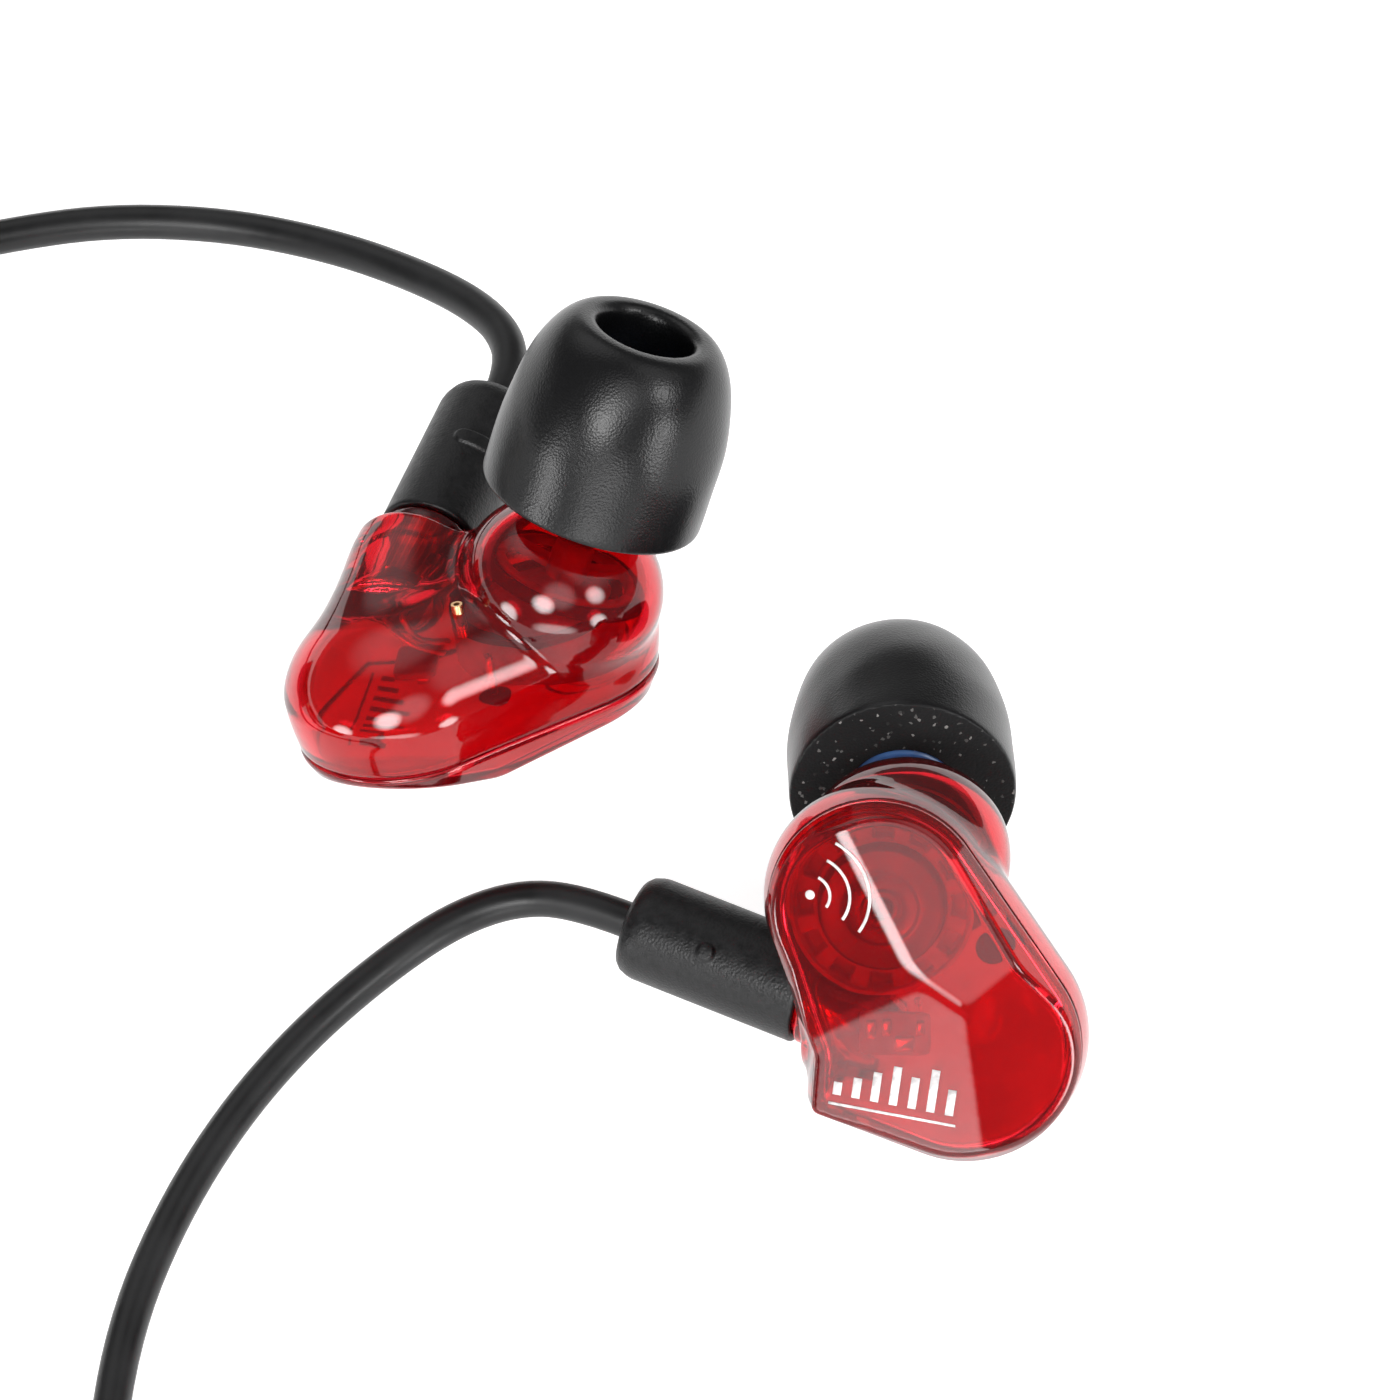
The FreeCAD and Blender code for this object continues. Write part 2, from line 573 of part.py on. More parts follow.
def jack_plug():
    """The 3.5 mm stereo plug: strain relief, housing and the three contacts with their insulators."""
    origin, way = (PLUG_X, RELIEF_Y, PLUG_Z), (0, 1, 0)
    back = RELIEF_L
    front = back + HOUSING_L
    first = front + SLEEVE_L
    second = first + GAP_L + RING_L
    third = second + GAP_L
    r = JACK_PLUG_R
    core = 0.45 * r
    relief = turned([(0, 0), (0, 0.75 * MAIN_D), (back, HOUSING_R - 1.0), (back, 0)], origin, way)
    housing = turned([
        (back, 0), (back, HOUSING_R - 0.4), (back + 0.4, HOUSING_R), (front - 0.5, HOUSING_R),
        (front, HOUSING_R - 0.5), (front, 0),
    ], origin, way)
    sleeve = pipe(origin, way, front, first, r, core)
    ring = pipe(origin, way, first + GAP_L, second, r, core)
    point = turned([
        (front, 0), (front, core - 0.2), (third, core - 0.2), (third, r), (third + 0.9, r),
        (third + 1.5, 0.65 * r), (third + 2.2, r * 0.95), (third + POINT_L, 0.25), (third + POINT_L, 0),
    ], origin, way)
    lining = pipe(origin, way, front, third, core, core - 0.2)
    gaps = [pipe(origin, way, s, s + GAP_L, r, core) for s in (first, second)]
    return {
        "plug_relief": relief, "plug_housing": housing, "plug_sleeve": sleeve, "plug_ring": ring,
        "plug_point": point, "plug_insulators": lining.fuse(gaps),
    }


def cables():
    """The free cable: a tube where it is not coiled, and one solid for each coil."""
    branch = coil_size(BRANCH_COIL_IN, BRANCH_COLUMNS, BRANCH_LEVELS, BRANCH_D)
    upper = COIL_LIFT + branch[2] + TURN_GAP
    main_size = coil_size(MAIN_COIL_IN, MAIN_COLUMNS, MAIN_LEVELS, MAIN_D)
    coils = {
        "left_branch_coil": coil(BRANCH_COIL_AT, COIL_LIFT, branch),
        "right_branch_coil": coil(BRANCH_COIL_AT, upper, branch),
        "main_coil": coil(MAIN_COIL_AT, COIL_LIFT, main_size),
    }
    routes = {
        "left_branch_cable": (LEFT_OUT, LEFT_BACK, BRANCH_D),
        "right_branch_cable": (RIGHT_OUT, RIGHT_BACK, BRANCH_D),
        "main_cable": (MAIN_OUT, MAIN_BACK, MAIN_D),
    }
    tubes = {}
    for name, (first, second, diameter) in routes.items():
        tubes[name] = Part.makeCompound([route_tube(points, diameter / 2) for points in (first, second)])
    both = (branch[0], branch[1], upper + branch[2] - COIL_LIFT)
    ties = [tie(BRANCH_COIL_AT, COIL_LIFT, both, 270), tie(MAIN_COIL_AT, COIL_LIFT, main_size, 75)]
    return {**tubes, **coils, "coil_ties": Part.makeCompound(ties)}


def main():
    os.makedirs("parts", exist_ok=True)
    nodes = {}
    sides = (("right", RIGHT_TURN, RIGHT_EXIT, False), ("left", LEFT_TURN, LEFT_EXIT, True))
    for name, shape in monitor().items():
        for side, turn, leave, mirrored in sides:
            nodes[f"{side}_{name}"] = placed(shape, turn, leave, mirrored)
    box = FreeCAD.BoundBox()
    for shape in nodes.values():
        box.add(shape.BoundBox)
    print("monitors and connectors:", box)
    nodes.update(cables())
    nodes.update(clips())
    nodes.update(jack_plug())
    for name, shape in nodes.items():
        print(name, len(shape.Solids), round(shape.Volume, 2), "ok" if shape.isValid() else "BAD")
        shape.exportStep(f"parts/{name}.step")


main()
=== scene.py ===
"""The looks of a pair of in-ear monitors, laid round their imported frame.

Pieces of a monitor are drawn in its own axes, in millimetres: u across the faceplate, v along it towards
the round end and w out of the faceplate, with w = 0 at the seam. The left monitor is the mirror image of
the right one. Cords and plug are drawn in the row frame, in metres.
"""
import json
import math

import bmesh
import bpy
import numpy as np
from bpy.props import FloatProperty, FloatVectorProperty, PointerProperty
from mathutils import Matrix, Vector


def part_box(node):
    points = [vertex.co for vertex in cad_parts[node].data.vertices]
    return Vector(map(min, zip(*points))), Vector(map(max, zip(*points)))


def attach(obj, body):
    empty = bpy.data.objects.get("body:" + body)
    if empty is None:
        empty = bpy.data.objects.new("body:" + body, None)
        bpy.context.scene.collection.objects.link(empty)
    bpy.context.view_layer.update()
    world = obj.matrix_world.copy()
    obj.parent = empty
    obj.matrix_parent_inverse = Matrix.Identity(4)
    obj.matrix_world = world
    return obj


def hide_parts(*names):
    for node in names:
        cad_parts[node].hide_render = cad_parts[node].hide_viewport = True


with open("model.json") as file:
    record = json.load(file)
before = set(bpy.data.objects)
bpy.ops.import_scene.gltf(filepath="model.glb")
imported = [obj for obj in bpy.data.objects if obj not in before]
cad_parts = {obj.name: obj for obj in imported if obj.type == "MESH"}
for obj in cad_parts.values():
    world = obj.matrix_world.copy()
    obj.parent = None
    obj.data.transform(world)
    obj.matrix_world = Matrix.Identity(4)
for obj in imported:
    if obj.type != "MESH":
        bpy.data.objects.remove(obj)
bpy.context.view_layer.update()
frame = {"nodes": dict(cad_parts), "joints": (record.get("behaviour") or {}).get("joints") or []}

bl_info = {
    "name": "In-Ear Monitors",
    "version": (1, 0, 0),
    "blender": (4, 5, 0),
    "location": "View3D > Sidebar > Monitors",
    "description": "Builds clear-shelled in-ear monitors with foam tips and detachable cables",
    "category": "Object",
}

JOINTS = {joint["name"]: joint for joint in frame["joints"]}
SIDES = ("right", "left")
MM = 0.001

# ---- the monitor, in its own axes and millimetres --------------------------------------------------
WALL = 0.8
SEAM_GAP = 0.05
ROUND_END = (0.0, 0.1, 5.47)
NOTCH = (-4.6, -7.6, -1.5)
WING = (-2.75, -10.05, 0.5)
LOW_END = (4.4, -7.0, 5.85)
BULGE = 0.35
BULGE_W = -2.6
BACK_W = -6.8
BACK_SHARE = 0.74         # size of the shell's back against its seam
BACK_MIDDLE = (2.0, -3.4)
RIM_H = 0.35
LEAN = 0.5                # how far the faceplate's sides lean in for each unit of height
# Each facet's height c and slopes a and b in w = c + a u + b v
FACETS = ((2.216, 0.253, 0.001), (2.404, -0.079, -0.171), (2.861, 0.157, 0.176), (4.787, -0.315, 0.118))
TIP_SEAT = np.array((0.86, 3.63, -10.0))
NOZZLE_DIR = np.array((-0.068, 0.428, -0.901))
STAGE_R = 5.3
STAGE_RISE = 4.6
STAGE_BACK = 5.1
NOZZLE_R = 2.4
NOZZLE_BORE_R = 1.6
NOZZLE_REACH = 4.6
TIP_R = 5.85
TIP_LEN = 9.9
TIP_NOSE_R = 3.3
TIP_CROWN = 3.0          # from the tip's rear face to where its side starts to draw in
CUT_DEPTH = 0.05         # foam nearer to its rear face than this is cut
CORE_R = 2.45
CORE_WALL = 0.45
CORE_LEN = 6.5
MOUTH = np.array((-3.64, -5.84, -6.18))
SOCKET_DIR = np.array((0.923, -0.294, 0.247))
LOBE_R = 3.45
LOBE_START = 1.3
LOBE_LEN = 7.0
COLLAR_R = 2.6
SPIGOT_R = 2.2
SPIGOT_DEPTH = 0.8
JACK_R = 1.75
JACK_BACK = 4.4
JACK_SLEEVE = 0.5         # resin left round the jack
BARREL_R = 2.75
BARREL_LEN = 10.0
BARREL_ROOM = 0.12        # gap round the barrel, which turns in the shell
MOUTH_WALL = 0.45
MOUTH_DEPTH = 1.0
DRIVER_AT = (0.2, -0.2)
DRIVER_R = 4.6
DRIVER_REAR = -1.0
YOKE_R = 3.2
VENTS = 12
BOARD_AT = (0.9, -6.7, -1.75)
BOARD_SIZE = (3.6, 2.2, 0.35)
BOARD_PARTS = ((-1.2, 0.3, 0.5, 0.9), (-0.4, 0.4, 0.5, 0.8), (0.5, -0.4, 1.0, 0.7), (1.3, 0.4, 0.4, 0.7))
SPIDER_BACK = 4.3        # from the tip seat back to the spider's middle
SPIDER_ARMS = 3
POST_AT = (5.7, -2.3, -1.9)
KEY_PLACES = ((2.6, 0.0), (4.2, 0.0), (2.6, 2.6))   # distance from the mouth, angle round the socket
KEY_OUT = 2.75

# ---- the print on the faceplates, millimetres and degrees -------------------------------------------
ARC_RADII = (1.0, 2.0, 3.0)
ARC_WIDTH = 0.15
ARC_AT = (-3.3, 1.0)
ARC_TURN = 15
DOT_R = 0.24
BARS = (0.7, 1.1, 1.6, 2.1, 1.7, 2.3, 1.4)
BAR_STEP = 0.95
BAR_WIDTH = 0.42
BARS_AT = (-2.0, -9.6)
BARS_TURN = -8
LINE_WIDTH = 0.14

# ---- the cable, in the row frame and metres ----------------------------------------------------------
BRANCH_D = 0.0019
MAIN_D = 0.002
COIL_LIFT = 0.0004        # the coils lie on their straps
TURN_GAP = 0.00005
BRANCH_COIL_AT = (-0.0548, 0.0203)
BRANCH_COIL_IN = 0.0086
MAIN_COIL_AT = (-0.08245, -0.036)
MAIN_COIL_IN = 0.009
RIGHT_EXIT = (-0.00258, -0.00745, 0.00336)
LEFT_EXIT = (-0.01001, 0.0219, 0.00702)
RIGHT_OUT = [
    RIGHT_EXIT, (-0.0052, -0.00623, 0.0033), (-0.0083, -0.0055, 0.00265), (-0.0117, -0.0063, 0.0018),
    (-0.0153, -0.00875, 0.00115), (-0.0193, -0.0127, 0.00095), (-0.0228, -0.0175, 0.00095),
    (-0.0257, -0.0232, 0.00095), (-0.0278, -0.0296, 0.00095), (-0.0286, -0.0372, 0.00095),
    (-0.0285, -0.0438, 0.00095), (-0.0322, -0.04755, 0.00095), (-0.0375, -0.04755, 0.00095),
    (-0.0412, -0.0438, 0.00095), (-0.0414, -0.0357, 0.00095), (-0.041, -0.0217, 0.00095),
    (-0.0411, -0.0077, 0.00095), (-0.0416, 0.0046, 0.0016), (-0.0421, 0.0125, 0.0044),
    (-0.0429, 0.0208, 0.0054), (-0.0469, 0.0265, 0.0053),
]
RIGHT_BACK = [
    (-0.0627, 0.0275, 0.0072), (-0.0665, 0.0225, 0.007), (-0.0671, 0.0155, 0.005),
    (-0.0666, 0.0085, 0.0029), (-0.0662, 0.001, 0.00168), (-0.0662, -0.0085, 0.00161),
    (-0.0662, -0.017, 0.0016),
]
LEFT_OUT = [
    LEFT_EXIT, (-0.0091, 0.0246, 0.00655), (-0.0094, 0.0276, 0.0059), (-0.0112, 0.0305, 0.0047),
    (-0.0143, 0.0334, 0.0033), (-0.0189, 0.0364, 0.0019), (-0.0248, 0.0385, 0.00105),
    (-0.0312, 0.0389, 0.00095), (-0.037, 0.0379, 0.00095), (-0.0436, 0.036, 0.00095),
    (-0.0503, 0.0337, 0.0011), (-0.0569, 0.0316, 0.00135), (-0.0619, 0.0274, 0.00135),
]
LEFT_BACK = [
    (-0.0633, 0.026, 0.0033), (-0.0673, 0.0206, 0.0032), (-0.0685, 0.012, 0.0021),
    (-0.0684, 0.002, 0.00165), (-0.0684, -0.0085, 0.00161), (-0.0684, -0.017, 0.0016),
]
MAIN_OUT = [
    (-0.0673, -0.028, 0.0016), (-0.0673, -0.0326, 0.0016), (-0.0678, -0.0385, 0.0014),
    (-0.0709, -0.044, 0.0014), (-0.0761, -0.0456, 0.0014),
]
MAIN_BACK = [
    (-0.0941, -0.0366, 0.00755), (-0.096, -0.0306, 0.0072), (-0.0937, -0.0244, 0.0054),
    (-0.0901, -0.0186, 0.0032), (-0.0901, -0.013, 0.0032),
]
PLUG_AT = (-0.0901, -0.013, 0.0032)
CONTACT_R = 0.00175

# ---- the camera, in metres, and its lens, in millimetres ---------------------------------------------
LENS = 200
SENSOR = 36
CAMERA_TARGET = (0.000876, 0.00825, 0)
CAMERA_AWAY = (0.0, -0.5446, 0.8387)
CAMERA_DISTANCE = 0.409


# ======================================= geometry helpers =============================================
def unit(vector):
    """The vector at length 1."""
    vector = np.asarray(vector, float)
    return vector / np.linalg.norm(vector)


def across(direction):
    """Two unit vectors square to a direction and to each other."""
    direction = unit(direction)
    first = unit(np.cross(direction, (0, 0, 1) if abs(direction[2]) < 0.9 else (1, 0, 0)))
    return first, np.cross(direction, first)


def monitor_axes(side):
    """The rows u, v, w of a monitor's axes in the row frame, and its barrel's mouth. w is the way the
    driver's cone travels; the socket's direction, laid flat on the faceplate, fixes u and v."""
    w = unit(JOINTS[f"{side}_cone_travel"]["axis"])
    swivel = JOINTS[f"{side}_swivel"]
    flat = np.array(swivel["axis"])
    flat = unit(flat - w * (flat @ w))
    square = np.cross(w, flat) * (1 if side == "right" else -1)
    a = math.atan2(SOCKET_DIR[1], SOCKET_DIR[0])
    u = flat * math.cos(a) - square * math.sin(a)
    v = flat * math.sin(a) + square * math.cos(a)
    return np.array((u, v, w)), np.array(swivel["pos_m"])


def to_row(side, points):
    """Points of a monitor, in millimetres, carried into the row frame, in metres."""
    turn, mouth = monitor_axes(side)
    return mouth + (points - MOUTH) @ turn * MM


def new_piece(name, points, faces, material, heal=True):
    """A mesh object at the origin from arrays of points and faces. Healing merges doubled points along
    seams and poles and turns every face outwards."""
    mesh = bpy.data.meshes.new(name)
    mesh.from_pydata(np.asarray(points), [], np.asarray(faces).tolist())
    if heal:
        shape = bmesh.new()
        shape.from_mesh(mesh)
        bmesh.ops.remove_doubles(shape, verts=shape.verts, dist=2e-7)
        bmesh.ops.recalc_face_normals(shape, faces=shape.faces)
        shape.to_mesh(mesh)
        shape.free()
    mesh.polygons.foreach_set("use_smooth", np.ones(len(mesh.polygons), bool))
    mesh.materials.append(material)
    piece = bpy.data.objects.new(name, mesh)
    bpy.context.scene.collection.objects.link(piece)
    return piece


def grid_faces(rows, columns, wrap=False):
    """The quads of a grid of points, row by row; wrap joins the last column to the first."""
    i, j = np.meshgrid(np.arange(rows - 1), np.arange(columns if wrap else columns - 1), indexing="ij")
    k = (j + 1) % columns
    here, ahead = i * columns, (i + 1) * columns
    return np.stack((here + j, here + k, ahead + k, ahead + j), -1).reshape(-1, 4)


def soften(profile, rounds=2):
    """Corner cutting: each corner of an open line gives way to points a quarter of the way along its
    two sides. The two ends stay."""
    profile = np.asarray(profile, float)
    for _ in range(rounds):
        a, b = profile[:-1], profile[1:]
        cut = np.stack((a * 0.75 + b * 0.25, a * 0.25 + b * 0.75), 1).reshape(-1, profile.shape[1])
        profile = np.vstack((profile[:1], cut, profile[-1:]))
    return profile


def lathe(profile, origin, direction, steps=96, ripple=None):
    """A surface of revolution: for (s, r) along the profile and angle a round the axis,
    point = origin + s * axis + (r + ripple(s, a)) * (cos a * e1 + sin a * e2)."""
    profile = np.asarray(profile, float)
    e1, e2 = across(direction)
    a = np.arange(steps) * 2 * math.pi / steps
    s, r = profile[:, :1], profile[:, 1:2] + np.zeros(steps)
    if ripple is not None:
        r = r + ripple(s + np.zeros(steps), a + np.zeros((len(profile), 1)), r)
    points = (np.asarray(origin) + (s + np.zeros(steps))[..., None] * unit(direction)
              + r[..., None] * (np.cos(a)[:, None] * e1 + np.sin(a)[:, None] * e2))
    return points.reshape(-1, 3), grid_faces(len(profile), steps, wrap=True)


def loft(sections):
    """A closed surface through a stack of closed sections, an array (stack, round, 3), whose two ends
    are closed by a middle point."""
    stack, turn, _ = sections.shape
    first = np.repeat(sections[:1].mean(1, keepdims=True), turn, 1)
    last = np.repeat(sections[-1:].mean(1, keepdims=True), turn, 1)
    points = np.vstack((first, sections, last)).reshape(-1, 3)
    return points, grid_faces(stack + 2, turn, wrap=True)


def superellipse(width, height, power, turn=64):
    """Points (x, z) of |x / a|^n + |z / b|^n = 1, with a and b half the width and height."""
    a = np.arange(turn) * 2 * math.pi / turn
    c, s = np.cos(a), np.sin(a)
    bend = 2 / power
    x = width / 2 * np.sign(c) * np.abs(c) ** bend
    z = height / 2 * np.sign(s) * np.abs(s) ** bend
    return np.stack((x, z), -1)


# ===================================== fields for the moulded shells ===================================
def smooth_min(a, b, r):
    """The lower of two fields, with the inside corner between them rounded over about r."""
    h = np.maximum(r - np.abs(a - b), 0) / r
    return np.minimum(a, b) - h * h * r / 4


def smooth_max(a, b, r):
    """The higher of two fields, with the outside corner between them rounded over about r."""
    return -smooth_min(-a, -b, r)


def belt(circles):
    """Arcs and straight lines of the closed line that runs round the circles (u, v, radius), as a
    belt does; a negative radius is a hollow round, passed on its other side."""
    ends = []
    for (x0, y0, r0), (x1, y1, r1) in zip(circles, circles[1:] + circles[:1]):
        span = math.hypot(x1 - x0, y1 - y0)
        normal = math.atan2(y1 - y0, x1 - x0) - math.pi / 2 + math.asin((r0 - r1) / span)
        n = np.array((math.cos(normal), math.sin(normal)))
        ends.append((np.array((x0, y0)) + n * r0, np.array((x1, y1)) + n * r1, normal))
    arcs = []
    for i, (x, y, r) in enumerate(circles):
        turn = (ends[i][2] - ends[i - 1][2] + math.pi) % (2 * math.pi) - math.pi
        if turn * r < 0:
            turn += math.copysign(2 * math.pi, r)
        start = ends[i - 1][2] if r > 0 else ends[i][2] + math.pi
        arcs.append((x, y, r, start, abs(turn)))
    return arcs, [(a, b) for a, b, _ in ends]


SEAM_ARCS, SEAM_LINES = belt([ROUND_END, NOTCH, WING, LOW_END])


def seam_distance(u, v):
    """Signed distance from the seam's outline, negative inside: that of the nearest of its arcs, the
    distance from the arc's centre less its radius, and of its lines, the distance along their normal."""
    best = np.full(np.shape(u), 50.0)
    for x, y, r, start, sweep in SEAM_ARCS:
        du, dv = u - x, v - y
        near = (np.hypot(du, dv) - abs(r)) * math.copysign(1, r)
        held = (np.arctan2(dv, du) - start) % (2 * math.pi) <= sweep + 1e-6
        best = np.where(held & (np.abs(near) < np.abs(best)), near, best)
    for a, b in SEAM_LINES:
        along = unit(b - a)
        t = (u - a[0]) * along[0] + (v - a[1]) * along[1]
        near = (u - a[0]) * along[1] - (v - a[1]) * along[0]
        held = (t >= 0) & (t <= np.linalg.norm(b - a))
        best = np.where(held & (np.abs(near) < np.abs(best)), near, best)
    return best


def axis_reach(p, origin, direction):
    """How far a point lies along an axis and out from it."""
    q = p - np.asarray(origin)
    along = q @ unit(direction)
    return along, np.sqrt(np.maximum((q * q).sum(-1) - along ** 2, 0))


def rod_field(p, origin, direction, start, end, radius, corner=0.2):
    """A round bar: the greater of the distance out from its side and past its ends, corner rounded."""
    along, out = axis_reach(p, origin, direction)
    return smooth_max(out - radius, np.abs(along - (start + end) / 2) - (end - start) / 2, corner)


def pot_field(p):
    """The body of the shell. Its outline at depth w is the seam's, drawn towards a middle point in
    step with a power of the depth and swollen by the bulge; its back is flat, its shoulder round."""
    u, v, w = p[..., 0], p[..., 1], p[..., 2]
    depth = np.clip((BULGE_W - w) / (BULGE_W - BACK_W), 0, 1.3)
    share = 1 - (1 - BACK_SHARE) * depth ** 1.5
    swell = BULGE * np.where(w > BULGE_W, np.sin(math.pi / 2 * np.clip(w / BULGE_W, 0, 1)),
                             np.cos(math.pi / 2 * np.clip(depth, 0, 1)))
    x, y = BACK_MIDDLE
    side = seam_distance((u - x) / share + x, (v - y) / share + y) * share - swell
    return smooth_max(side, BACK_W - w, 3.2)


def stage_field(p):
    """The dome under the nozzle: a ball, pressed a little flat in front."""
    along, out = axis_reach(p, TIP_SEAT - unit(NOZZLE_DIR) * STAGE_BACK, NOZZLE_DIR)
    along = np.where(along > 0, along * STAGE_R / STAGE_RISE, along)
    return (np.hypot(out, along) - STAGE_R) * 0.93


def lobe_field(p):
    """The bulge round the socket: a round bar that slims towards its far end, where it sinks into the
    body, with a rounded far end and a crisp near one."""
    along, out = axis_reach(p, MOUTH, SOCKET_DIR)
    slim = 0.085 * np.clip(along - 2.5, 0, 8) ** 1.5
    side = smooth_max(out - LOBE_R + slim, along - LOBE_START - LOBE_LEN, 3.0)
    return smooth_max(side, LOBE_START - along, 0.5)


def shell_field(p):
    """The moulded shell: pot, dome, nozzle and socket lobe run into each other with rounds, hollowed
    by the same form less one wall, bored for nozzle and socket, and cut at the seam."""
    hollow = smooth_min(pot_field(p), stage_field(p), 0.45)
    outer = smooth_min(hollow, lobe_field(p), 1.7)
    outer = smooth_min(outer, rod_field(p, TIP_SEAT, NOZZLE_DIR, -3, NOZZLE_REACH, NOZZLE_R), 0.7)
    outer = smooth_max(outer, -rod_field(
        p, MOUTH, SOCKET_DIR, -BARREL_LEN, BARREL_ROOM, BARREL_R + BARREL_ROOM), 0.15)
    outer = smooth_min(outer, rod_field(p, MOUTH, SOCKET_DIR, 0.15, 3, COLLAR_R), 0.25)
    outer = smooth_min(outer, rod_field(p, MOUTH, SOCKET_DIR, -SPIGOT_DEPTH, 2, SPIGOT_R), 0.12)
    sleeve = rod_field(p, MOUTH, SOCKET_DIR, -2, JACK_BACK, JACK_R + JACK_SLEEVE)
    space = smooth_max(hollow + WALL, -sleeve, 0.3)
    space = np.minimum(space, rod_field(p, MOUTH, SOCKET_DIR, -2, JACK_BACK + 0.9, JACK_R))
    space = np.minimum(space, rod_field(p, TIP_SEAT, NOZZLE_DIR, -2.5, NOZZLE_REACH + 2, NOZZLE_BORE_R))
    solid = smooth_max(outer, -space, 0.12)
    return smooth_max(solid, p[..., 2] + SEAM_GAP / 2, 0.16)


def gem_field(p, corner):
    """The faceted blank of the faceplate: sides that lean in above a straight rim, cut by the facets'
    planes w = c + a u + b v. The lean dies out round the wing, whose walls stand straight."""
    u, v, w = p[..., 0], p[..., 1], p[..., 2]
    straight = np.clip((-u - 0.5) / 2.5, 0, 1) * np.clip((-v - 3.0) / 3.0, 0, 1)
    lean = LEAN * (1 - 0.85 * straight)
    field = (seam_distance(u, v) + lean * np.maximum(w - RIM_H, 0)) / np.sqrt(1 + lean ** 2)
    top = None
    for c, a, b in FACETS:
        plane = (w - c - a * u - b * v) / math.sqrt(1 + a * a + b * b)
        top = plane if top is None else smooth_max(top, plane, corner)
    return smooth_max(field, top, corner)


def faceplate_field(p):
    """The faceplate: the gem hollowed by itself less one wall, and cut at the seam."""
    solid = smooth_max(gem_field(p, 0.2), -(gem_field(p, 0.1) + WALL), 0.12)
    return smooth_max(solid, SEAM_GAP / 2 - p[..., 2], 0.16)


def slope(field, p, reach=0.02):
    """The field's slope, from differences along the three axes."""
    steps = np.eye(3) * reach
    return np.stack([field(p + d) - field(p - d) for d in steps], -1) / (2 * reach)


SKIN_STEPS = 5           # moves onto the surface
SKIN_EVENINGS = 3        # of these, how many are led by an evening out


def skin(field, low, high, cell):
    """The surface where a field is zero, as points and quads: a point in each cell of a grid that the
    surface crosses, at the mean of its crossings on the cell's edges, and a quad round each crossed
    edge. The points are then evened out and moved along the field's slope onto the surface."""
    spans = [np.arange(a, b + cell, cell) for a, b in zip(low, high)]
    value = np.stack([field(np.stack(np.meshgrid([x], *spans[1:], indexing="ij"), -1))[0]
                      for x in spans[0]])
    size = np.array(value.shape)
    owners, places, quads = [], [], []
    for axis in range(3):
        a = np.moveaxis(value, axis, 0)
        a, b = np.moveaxis(a[:-1], 0, axis), np.moveaxis(a[1:], 0, axis)
        at = np.argwhere((a < 0) != (b < 0))
        others = [(axis + 1) % 3, (axis + 2) % 3]
        at = at[(at[:, others] > 0).all(1) & (at[:, others] < size[others] - 1).all(1)]
        a, b = a[tuple(at.T)], b[tuple(at.T)]
        place = at.astype(float)
        place[:, axis] += a / (a - b)
        e1, e2 = np.eye(3, dtype=int)[others]
        corners = [at - e1 - e2, at - e2, at, at - e1]
        ids = np.stack([np.ravel_multi_index(c.T, size) for c in corners], 1)
        quads.append(np.where((a < 0)[:, None], ids, ids[:, ::-1]))
        owners.append(ids.T.ravel())
        places.append(np.tile(place, (4, 1)))
    owners, places, quads = np.concatenate(owners), np.vstack(places), np.vstack(quads)
    names, owner = np.unique(owners, return_inverse=True)
    count = np.bincount(owner)
    points = np.stack([np.bincount(owner, places[:, k]) / count for k in range(3)], -1) * cell + low
    faces = np.searchsorted(names, quads)
    pairs = np.vstack([faces[:, [k, (k + 1) % 4]] for k in range(4)])
    shared = np.bincount(pairs[:, 0], minlength=len(points))
    for step in range(SKIN_STEPS):
        if step < SKIN_EVENINGS:
            mean = np.stack([np.bincount(pairs[:, 0], points[pairs[:, 1], k], len(points))
                             for k in range(3)], -1)
            points = points * 0.4 + mean / shared[:, None] * 0.6
        gradient = slope(field, points)
        length = np.maximum((gradient ** 2).sum(-1), 0.2)
        move = np.clip(field(points), -cell, cell) / length
        points = points - gradient * move[:, None]
    return points, faces


# ============================================ materials ===============================================
def node_tree(name):
    """A new material with its node tree and its shader."""
    material = bpy.data.materials.new(name)
    material.use_nodes = True
    tree = material.node_tree
    return material, tree, tree.nodes["Principled BSDF"]


def add(tree, kind, links=None, **values):
    """A node with its settings; links maps its input names to other nodes' outputs."""
    node = tree.nodes.new(kind)
    for name, value in values.items():
        if hasattr(node, name):
            setattr(node, name, value)
        else:
            node.inputs[name.replace("_", " ")].default_value = value
    for name, source in (links or {}).items():
        tree.links.new(source, node.inputs[name])
    return node


def ramp(tree, source, stops):
    """A colour ramp from (place, colour) stops."""
    node = tree.nodes.new("ShaderNodeValToRGB")
    elements = node.color_ramp.elements
    for i, (place, colour) in enumerate(stops):
        element = elements[i] if i < 2 else elements.new(place)
        element.position = place
        element.color = (*colour, 1)
    tree.links.new(source, node.inputs[0])
    return node.outputs[0]


def group_frame(name, inputs):
    """An empty node group with an input for each (name, type, default), and its two ends."""
    group = bpy.data.node_groups.new(name, "ShaderNodeTree")
    for label, kind, default in inputs:
        socket = group.interface.new_socket(label, in_out="INPUT", socket_type=kind)
        if default is not None:
            socket.default_value = default
    return group, group.nodes.new("NodeGroupInput"), group.nodes.new("NodeGroupOutput")


